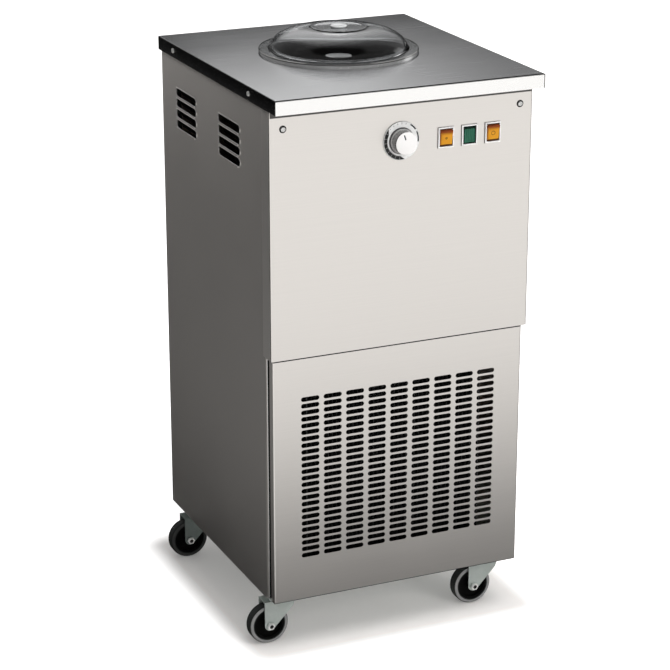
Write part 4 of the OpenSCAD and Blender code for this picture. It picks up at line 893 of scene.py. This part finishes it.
# %% [markdown]
# The panels are held by pan-head screws with a cross recess. The head is a lathe shape, closed at both
# ends. Its flat top is cut along the lines of the cross, and the cells inside the cross are pushed in.
# A boolean could cut the cross too, but cuts and one extrusion leave cleaner faces.

# %% Screw head
HEAD_OUTLINE, HEAD_SPIN = [(4.5, 0), (4.4, 1.2), (3.9, 2.0), (3.0, 2.5)], 24
HEAD_R, HEAD_H = HEAD_OUTLINE[0][0] * MM, HEAD_OUTLINE[-1][1] * MM
CROSS_W, CROSS_L, CROSS_DEEP, CROSS_TURN = 0.55 * MM, 2.7 * MM, 1.3 * MM, math.radians(27)


def flat_top(head):
    return [face for face in head.faces if all(vert.co.z > HEAD_H - MERGE for vert in face.verts)]


def in_cross(face):
    across = sorted((abs(face.calc_center_median().x), abs(face.calc_center_median().y)))
    return across[0] < CROSS_W and across[1] < CROSS_L


def screw_head(place, outwards):
    head = bmesh.new()
    lathe(head, HEAD_OUTLINE, ORIGIN, UP, HEAD_SPIN)
    for above in (True, False):
        rings = [edge for edge in head.edges if edge.is_boundary]
        ring = [edge for edge in rings if (edge.verts[0].co.z > HEAD_H / 2) == above]
        bmesh.ops.contextual_create(head, geom=ring)
    for axis in (Vector((1, 0, 0)), Vector((0, 1, 0))):
        for offset in (-CROSS_L, -CROSS_W, CROSS_W, CROSS_L):
            slice_at(head, flat_top(head), axis * offset, axis)
    cross = [face for face in flat_top(head) if in_cross(face)]
    sunk = bmesh.ops.extrude_face_region(head, geom=cross)["geom"]
    bmesh.ops.delete(head, geom=cross, context="FACES")
    floor = [part for part in sunk if isinstance(part, bmesh.types.BMVert)]
    bmesh.ops.translate(head, vec=(0, 0, -CROSS_DEEP), verts=floor)
    turn(head, Matrix.Rotation(CROSS_TURN, 3, "Z"))
    turn(head, outwards.to_track_quat("Z", "Y").to_matrix())
    shift(head, place)
    return head


print("screw head radius", HEAD_R / MM, "mm")

# %% [markdown]
# Two front screws sit in cup washers, four are on the lip and six hold the rear panel. They are the same
# part many times over, so a loop sets them on both sides, all in one piece.

# %% Screws
HEAD_SUNK, REAR_SCREW_X, REAR_SCREW_DROP = 1.7 * MM, 222.5 * MM, 60 * MM
LIP_SHARES = (0.58, 0.72)
screw_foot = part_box("panel_screws")[0].z
cup_low, cup_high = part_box("cup_washers")
rear_low, rear_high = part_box("rear_panel")
cup_r = (cup_high.z - cup_low.z) / 2
cup_x, cup_z = cup_high.x - cup_r, middle(cup_low, cup_high).z
lip_z = middle(top_low, top_high).z
lip_screws = (top_low.y * LIP_SHARES[0], top_high.y * LIP_SHARES[1])
rear_screws = (screw_foot + HEAD_R, (rear_low.z + top_high.z) / 2, top_high.z - REAR_SCREW_DROP)
heads = bmesh.new()
for side in (-1, 1):
    add_copy(heads, screw_head(Vector((side * cup_x, cup_low.y + HEAD_SUNK, cup_z)), -BACKWARDS))
    for y in lip_screws:
        add_copy(heads, screw_head(Vector((side * top_high.x, y, lip_z)), Vector((side, 0, 0))))
    for z in rear_screws:
        add_copy(heads, screw_head(Vector((side * REAR_SCREW_X, rear_high.y, z)), BACKWARDS))
make_piece("screw_heads", heads, "cabinet", bright_screw, ["panel_screws"], 30.0)

# %% [markdown]
# A cup washer is a pressed ring whose face slopes down to the panel. It could be a cone with a hole,
# but a lathe outline also rounds its crest and its bore. Two of them make the pair.

# %% Cup washers
CUP_BORE, CUP_SPIN = 4.6, 40
CUP_SLOPE = [(0.0, 0.0), (-0.2, -0.5), (-1.0, -1.8), (-1.6, -2.0)]
CUP_CREST = [(0.3, -1.6), (0.0, -1.2), (0.0, 0.0)]
cup_outline = [(CUP_BORE, 0)] + stepped(cup_r / MM, 0, CUP_SLOPE) + stepped(CUP_BORE, 0, CUP_CREST)
cups = bmesh.new()
for side in (-1, 1):
    lathe(cups, cup_outline, Vector((side * cup_x, cup_high.y, cup_z)), BACKWARDS, CUP_SPIN)
make_piece("cup_rings", cups, "cabinet", black_cup, ["cup_washers"], 30.0)

# %% [markdown]
# The air slots of the side sheets have round ends and a rolled rim, brighter than the sheet. The rim could
# be swept along a curve, but two circles that are pulled apart into slots, bridged and thickened need
# only a few operators. Its rear end is square outside, to cover the corners of the cut behind it.

# %% Louvre rim
LOUVRE_L, LOUVRE_H = 102 * MM, 16.5 * MM
RIM_IN, RIM_OUT, RIM_SUNK, RIM_PROUD, RIM_BEVEL = 1.0 * MM, 0.5 * MM, 0.3 * MM, 1.0 * MM, 0.4 * MM
RIM_STEPS = 36


def slot_loop(shape, length, height, square_rear):
    """A closed loop of edges round a slot that lies along X."""
    loop = bmesh.ops.create_circle(shape, segments=RIM_STEPS, radius=height / 2)["verts"]
    half_step = Matrix.Rotation(math.pi / RIM_STEPS, 3, "Z")
    bmesh.ops.rotate(shape, cent=ORIGIN, matrix=half_step, verts=loop)
    for vert in loop:
        if square_rear and vert.co.x > 0:
            vert.co *= height / 2 / max(vert.co.x, abs(vert.co.y))
        vert.co.x += math.copysign((length - height) / 2, vert.co.x)
    return once(edge for vert in loop for edge in vert.link_edges)


def louvre_rim(side, y, z):
    rim = bmesh.new()
    outer = slot_loop(rim, LOUVRE_L + 2 * RIM_OUT, LOUVRE_H + 2 * RIM_OUT, True)
    inner = slot_loop(rim, LOUVRE_L - 2 * RIM_IN, LOUVRE_H - 2 * RIM_IN, False)
    ring = bmesh.ops.bridge_loops(rim, edges=outer + inner)["faces"]
    raised = bmesh.ops.extrude_face_region(rim, geom=ring, use_keep_orig=True)["geom"]
    top = [part for part in raised if isinstance(part, bmesh.types.BMFace)]
    top_verts = once(vert for face in top for vert in face.verts)
    bmesh.ops.translate(rim, vec=(0, 0, RIM_SUNK + RIM_PROUD), verts=top_verts)
    crest = [edge for face in top for edge in face.edges if sum(f in top for f in edge.link_faces) == 1]
    soften(rim, crest, RIM_BEVEL, 2)
    turn(rim, Matrix(((0, 0, side), (1, 0, 0), (0, 1, 0))))
    shift(rim, (side * (sheet_x - RIM_SUNK), y + LOUVRE_L / 2, z))
    return rim


print("louvre rim ready,", LOUVRE_L / MM, "mm long")

# %% [markdown]
# Each side has two groups of four slots. The rims ride on the cabinet with the sheets that they edge,
# and their steel is lighter than the side sheet, which paints a highlight on the rolled edge.

# %% Louvre rims
LOUVRE_FRONTS, LOUVRE_DROP, LOUVRE_PITCH, LOUVRE_COUNT = (-108 * MM, 102 * MM), 88.5 * MM, 19.6 * MM, 4
# lighter steel, a painted highlight on the rims
rim_steel = brushed_steel("rim_steel", (0.74, 0.72, 0.70), ALONG_Y, 0.3)
rims = bmesh.new()
for side in (-1, 1):
    for group_y in LOUVRE_FRONTS:
        for place_in_group in range(LOUVRE_COUNT):
            slot_z = top_high.z - LOUVRE_DROP - place_in_group * LOUVRE_PITCH
            add_copy(rims, louvre_rim(side, group_y, slot_z))
make_piece("louvre_rims", rims, "cabinet", rim_steel, crisp=30.0)

# %% [markdown]
# Each wheel turns on a bolt that a nut closes on both sides of the fork. A lathe with only six steps
# gives a hexagon with a chamfer, in the same turn as the solid under it, and a round bolt end shows in
# its middle, black as the painted shade of a socket.

# %% Axle nuts
HEX_R, HEX_T, HEX_CHAMFER, HEX_PROUD, BOLT_R, BOLT_SPIN = 7.1, 4.0, 0.9, 0.8, 4.1, 20
NUT_OUTLINE = [(BOLT_R, -HEX_T), (HEX_R, -HEX_T), (HEX_R, HEX_PROUD - HEX_CHAMFER),
               (HEX_R - HEX_CHAMFER, HEX_PROUD), (BOLT_R, HEX_PROUD), (BOLT_R, -HEX_T)]
END_OUTLINE = [(0, -HEX_CHAMFER), (BOLT_R, -HEX_CHAMFER), (BOLT_R, HEX_PROUD / 4),
               (BOLT_R - HEX_CHAMFER, HEX_PROUD / 2), (0, HEX_PROUD / 2)]
for corner in CORNERS:
    fork_low, fork_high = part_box("fork_" + corner)
    axle = middle(*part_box("tyre_" + corner))
    nuts, ends = bmesh.new(), bmesh.new()
    for nut_y, outwards in ((fork_low.y, -BACKWARDS), (fork_high.y, BACKWARDS)):
        centre = Vector((axle.x, nut_y, axle.z))
        lathe(nuts, NUT_OUTLINE, centre, outwards, 6)
        lathe(ends, END_OUTLINE, centre, outwards, BOLT_SPIN)
    make_piece("axle_nuts_" + corner, nuts, "swivel_" + corner, bright_screw, crisp=25.0)
    # the black bolt end is painted shade
    make_piece("axle_ends_" + corner, ends, "swivel_" + corner, black_cup, crisp=25.0)

# %% [markdown]
# The picture is taken like a product on a white sweep. Brighter lamps would whiten it, but they would
# also bleach the machine, so the floor and the world glow only for rays from the camera, or for rays
# that a metal or a clear piece sends on. Light Path tells those rays from the ones that carry light.

# %% Stage helpers
def stage_plane(name, corners, finish):
    """A flat piece of the studio, which isn't part of the machine."""
    shape = bmesh.new()
    shape.faces.new([shape.verts.new(corner) for corner in corners])
    mesh = bpy.data.meshes.new(name)
    shape.to_mesh(mesh)
    shape.free()
    mesh.materials.append(finish)
    plane = bpy.data.objects.new(name, mesh)
    scene.collection.objects.link(plane)
    return plane


def level_corners(x0, y0, x1, y1, z):
    return [(x0, y0, z), (x1, y0, z), (x1, y1, z), (x0, y1, z)]


def seen_directly(tree):
    """1 for rays from the camera and for those that metal and clear pieces send on, 0 for light."""
    start = Wire(tree, None)
    looks = [start.node("ShaderNodeLightPath", None, None, ray)
             for ray in ("Is Camera Ray", "Is Glossy Ray", "Is Transmission Ray")]
    return (looks[0] + looks[1] + looks[2]).math("MINIMUM", 1.0)


def glow(level):
    """A light whose brightness follows a wire from black at 0 to white at 1."""
    return level.node("ShaderNodeEmission", None, {"Color": level.tint(rgb(0, 0, 0), rgb(1, 1, 1))})


print("stage helpers ready")

# %% [markdown]
# The floor is pale and keeps the soft shadow of the lamps. Its glow would wash that shadow out, so it
# is weaker next to the machine, and a painted shadow lies round the base. The distance to the base
# plate's edge sets it.

# %% Floor
FLOOR_REACH = 16.0
SHADOW_START, SHADOW_END = 0.012, 0.078
NEAR_GLOW, FAR_GLOW = 0.13, 1.0
FLOOR_DARK, FLOOR_PALE, FLOOR_ROUGH = (0.81, 0.78, 0.76), (0.83, 0.80, 0.78), 0.9
foot_low, foot_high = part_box("base_plate")
foot_middle, foot_half = middle(foot_low, foot_high), (foot_high - foot_low) / 2


def pale_floor():
    material, shader, place = new_finish("pale_floor")
    x, y, _ = place.axes()
    beside = ((x - foot_middle.x).size() - foot_half.x).most(0.0)
    before = ((y - foot_middle.y).size() - foot_half.y).most(0.0)
    away = beside.away_from(0.0, before, 0.0)
    dress(shader, place,
          Base_Color=place.noise(40.0, 2.0).tint(rgb(*FLOOR_DARK), rgb(*FLOOR_PALE)),
          Roughness=FLOOR_ROUGH)
    # the weaker glow next to the machine paints a shadow round the base
    light = glow(away.ramp(SHADOW_START, SHADOW_END, NEAR_GLOW, FAR_GLOW) * seen_directly(place.tree))
    both = light.node("ShaderNodeAddShader", None, {0: Wire(place.tree, shader.outputs[0]), 1: light})
    place.plug(place.tree.nodes["Material Output"].inputs["Surface"], both)
    return material


stage_plane("floor", level_corners(-FLOOR_REACH, -FLOOR_REACH, FLOOR_REACH, FLOOR_REACH, 0), pale_floor())
print("floor of", 2 * FLOOR_REACH, "m")

# %% [markdown]
# The world is a plain white sky. It fills the shadows at less than half its strength, and shows white
# behind the machine. The Standard view transform leaves a colour about as it is written.

# %% World
FILL_LEVEL, WHITE_LEVEL = 0.42, 1.0
world = bpy.data.worlds.new("studio")
world.use_nodes = True
scene.world = world
background = world.node_tree.nodes["Background"]
sky = seen_directly(world.node_tree).between(FILL_LEVEL, WHITE_LEVEL)
sky.plug(background.inputs["Strength"], sky)
sky.plug(background.inputs["Color"], rgb(1, 1, 1))
scene.view_settings.view_transform = "Standard"
print("world ready")

# %% [markdown]
# Bare steel has hardly a colour of its own: it shows what stands round it. In an all-white room the
# cabinet would be white all over, so a studio puts grey cards where each face looks. Here the cards
# are seen only by reflections, or through clear pieces where that is asked, and take no light away.

# %% Grey cards
cards = []


def graded_card(name, corners, level, through=False):
    """A card whose brightness is a formula of its place in metres."""
    material, shader, place = new_finish(name)
    place.tree.nodes.remove(shader)
    place.plug(place.tree.nodes["Material Output"].inputs["Surface"], glow(level(*place.axes())))
    plane = stage_plane(name, corners, material)
    plane.visible_camera = False
    plane.visible_diffuse = False
    plane.visible_transmission = through
    plane.visible_shadow = False
    cards.append(name)


def upright_corners(start, end, low, high):
    return [(*start, low), (*end, low), (*end, high), (*start, high)]


print("card helper ready")

# %% [markdown]
# The left side looks at the floor beside it, so a card there is dark at the machine's foot, grey half a
# metre out and dark again beyond, and lighter towards the front. A wall stands behind it. The fold at
# the front corner looks at a strip of floor that stays white.

# %% Cards on the left
CARD_LIFT, CARD_EDGE = 0.001, 0.02
ROOM_X, ROOM_FRONT, ROOM_REAR, CORNER_Y, LEFT_WALL_H = 5, -7, 6, -0.42, 4.0
left_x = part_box("left_side_panel")[0].x - CARD_EDGE
card_front = upper_low.y - CARD_EDGE
SIDE_SLOPE = towards_camera.y / towards_camera.x
# A fade is two places and the level at each
SIDE_NEAR, SIDE_FAR = (0.0, 0.5, 0.01, 0.19), (0.7, 1.3, 1.0, 0.3)
SIDE_ALONG, SIDE_WALL = (-0.2, 0.4, 1.1, 0.65), (0.0, LEFT_WALL_H, 0.12, 0.3)
CORNER_FADE = (card_front - 0.1, card_front - 0.7, 0.9, 1.0)


def left_floor_level(x, y, z):
    out = left_x - x
    return out.ramp(*SIDE_NEAR) * out.ramp(*SIDE_FAR) * (y - out * SIDE_SLOPE).ramp(*SIDE_ALONG)


graded_card("left_floor_card", level_corners(-ROOM_X, CORNER_Y, left_x, ROOM_REAR, CARD_LIFT),
            left_floor_level)
graded_card("left_wall_card", upright_corners((-ROOM_X, CORNER_Y), (-ROOM_X, ROOM_REAR), 0, LEFT_WALL_H),
            lambda x, y, z: z.ramp(*SIDE_WALL), True)
graded_card("corner_floor_card", level_corners(-ROOM_X, ROOM_FRONT, left_x, CORNER_Y, CARD_LIFT),
            lambda x, y, z: y.ramp(*CORNER_FADE))
print("cards on the left:", len(cards))

# %% [markdown]
# The front looks at the floor before it, which grows from grey to white with the distance, so the lower
# panel darkens towards its foot as on a real sweep. Higher up, three walls give the dome something
# darker than the sky to show.

# %% Cards in front
FLOOR_RIGHT, WALL_Y, WALL_LOW, WALL_HIGH, WALL_GREY, WALL_PALE = 6, -3.4, 1.25, 7.0, 0.25, 0.6
FLOOR_FADE = (card_front - 0.1, card_front - 1.32, 0.19, 1.0)
WALL_FADE = (3.2, WALL_HIGH, WALL_GREY, WALL_PALE)


def wall_level(x, y, z):
    return z.ramp(*WALL_FADE)


graded_card("front_floor_card", level_corners(left_x, ROOM_FRONT, FLOOR_RIGHT, card_front, CARD_LIFT),
            lambda x, y, z: y.ramp(*FLOOR_FADE))
graded_card("front_wall_card", upright_corners((-ROOM_X, WALL_Y), (ROOM_X, WALL_Y), WALL_LOW, WALL_HIGH),
            wall_level, True)
for side, x in (("left", -ROOM_X), ("right", ROOM_X)):
    graded_card(side + "_front_card", upright_corners((x, WALL_Y), (x, CORNER_Y), WALL_LOW, WALL_HIGH),
                wall_level, True)
print("cards so far:", len(cards))

# %% [markdown]
# The top plate looks at what stands behind the machine. A card there goes from nearly black to white
# with its height, which darkens the plate's far edge, and fades to both sides. A grey one beside it
# serves the views from the right, and a dark one closes the gap below.

# %% Cards behind
BACK_Y, BACK_LOW, BACK_HIGH, BACK_SPLIT, BACK_LEFT, BACK_RIGHT = 0.9, 1.0, 2.6, -0.12, -3, 3
BACK_RISE, BACK_FADES = (1.20, 1.42, 0.02, 1.0), [(0.3, 0.9, 1.0, 0.32), (-0.25, 0.1, 0.08, 1.0)]
BESIDE_FADE, BELOW_FADE = (1.0, 1.5, 0.16, 0.26), (0.0, BACK_LOW, 0.02, 0.03)


def back_level(x, y, z):
    return z.ramp(*BACK_RISE) * x.ramp(*BACK_FADES[0]) * x.ramp(*BACK_FADES[1])


def back_corners(x0, x1, low, high):
    return upright_corners((x0, BACK_Y), (x1, BACK_Y), low, high)


graded_card("back_left_card", back_corners(BACK_LEFT, BACK_SPLIT, BACK_LOW, BACK_HIGH),
            lambda x, y, z: z.ramp(*BESIDE_FADE), True)
graded_card("back_card", back_corners(BACK_SPLIT, BACK_RIGHT, BACK_LOW, BACK_HIGH), back_level, True)
graded_card("back_low_card", back_corners(0, BACK_RIGHT, 0, BACK_LOW),
            lambda x, y, z: z.ramp(*BELOW_FADE))
print("cards so far:", len(cards))

# %% [markdown]
# A grey ceiling with a darker spot towards the camera keeps the front of the dome clear, so the black
# bowl shows through it. A small flag beside the plate's lip makes the left lip black, as a hand-held
# flag would in a studio.

# %% Cards overhead and beside the lip
CEILING_Z, CEILING_REACH, CEILING_REAR = 5, 9, 3.0
CEILING_FADE, SPOT_FADE = (1.5, CEILING_REAR, WALL_GREY, WALL_PALE), (1.9, 2.6, 0.2, 1.0)
FLAG_GAP, FLAG_DROP, FLAG_RISE, FLAG_PAST, FLAG_FADE = 0.03, 0.014, 0.03, 0.17, (0.0, 1.0, 0.003, 0.006)


def ceiling_level(x, y, z):
    spot = x.away_from(towards_camera.x, y, towards_camera.y)
    return spot.ramp(*SPOT_FADE) * y.ramp(*CEILING_FADE)


graded_card("ceiling_card",
            level_corners(-CEILING_REACH, -CEILING_REACH, CEILING_REACH, CEILING_REAR, CEILING_Z),
            ceiling_level, True)
flag_x = top_low.x - FLAG_GAP
graded_card("lip_flag", upright_corners((flag_x, top_low.y), (flag_x, top_high.y + FLAG_PAST),
                                        top_low.z - FLAG_DROP, top_high.z + FLAG_RISE),
            lambda x, y, z: z.ramp(*FLAG_FADE))
print("grey cards:", len(cards))

# %% [markdown]
# One large soft lamp hangs high in front, so the shadow lies under the cabinet, and a weaker one in
# front lights the knob, the switches and the wheels. Their power is set so that a white card at the
# machine renders about white, and reflections don't show them, because the cards shape those.

# %% Soft lamps
def soft_lamp(name, place, aim, size, power):
    data = bpy.data.lights.new(name, "AREA")
    data.shape = "SQUARE"
    data.size = size
    data.energy = power
    lamp = bpy.data.objects.new(name, data)
    lamp.location = place
    lamp.rotation_euler = (Vector(aim) - Vector(place)).to_track_quat("-Z", "Y").to_euler()
    lamp.visible_glossy = False
    lamp.visible_transmission = False
    scene.collection.objects.link(lamp)
    print(name, power, "W")


soft_lamp("overhead_lamp", place=(0.7, -1.5, 4.2), aim=(0, 0, 0.5), size=2.4, power=95)
soft_lamp("front_lamp", place=(1.4, -3.6, 1.8), aim=(0, 0, 0.6), size=1.8, power=55)
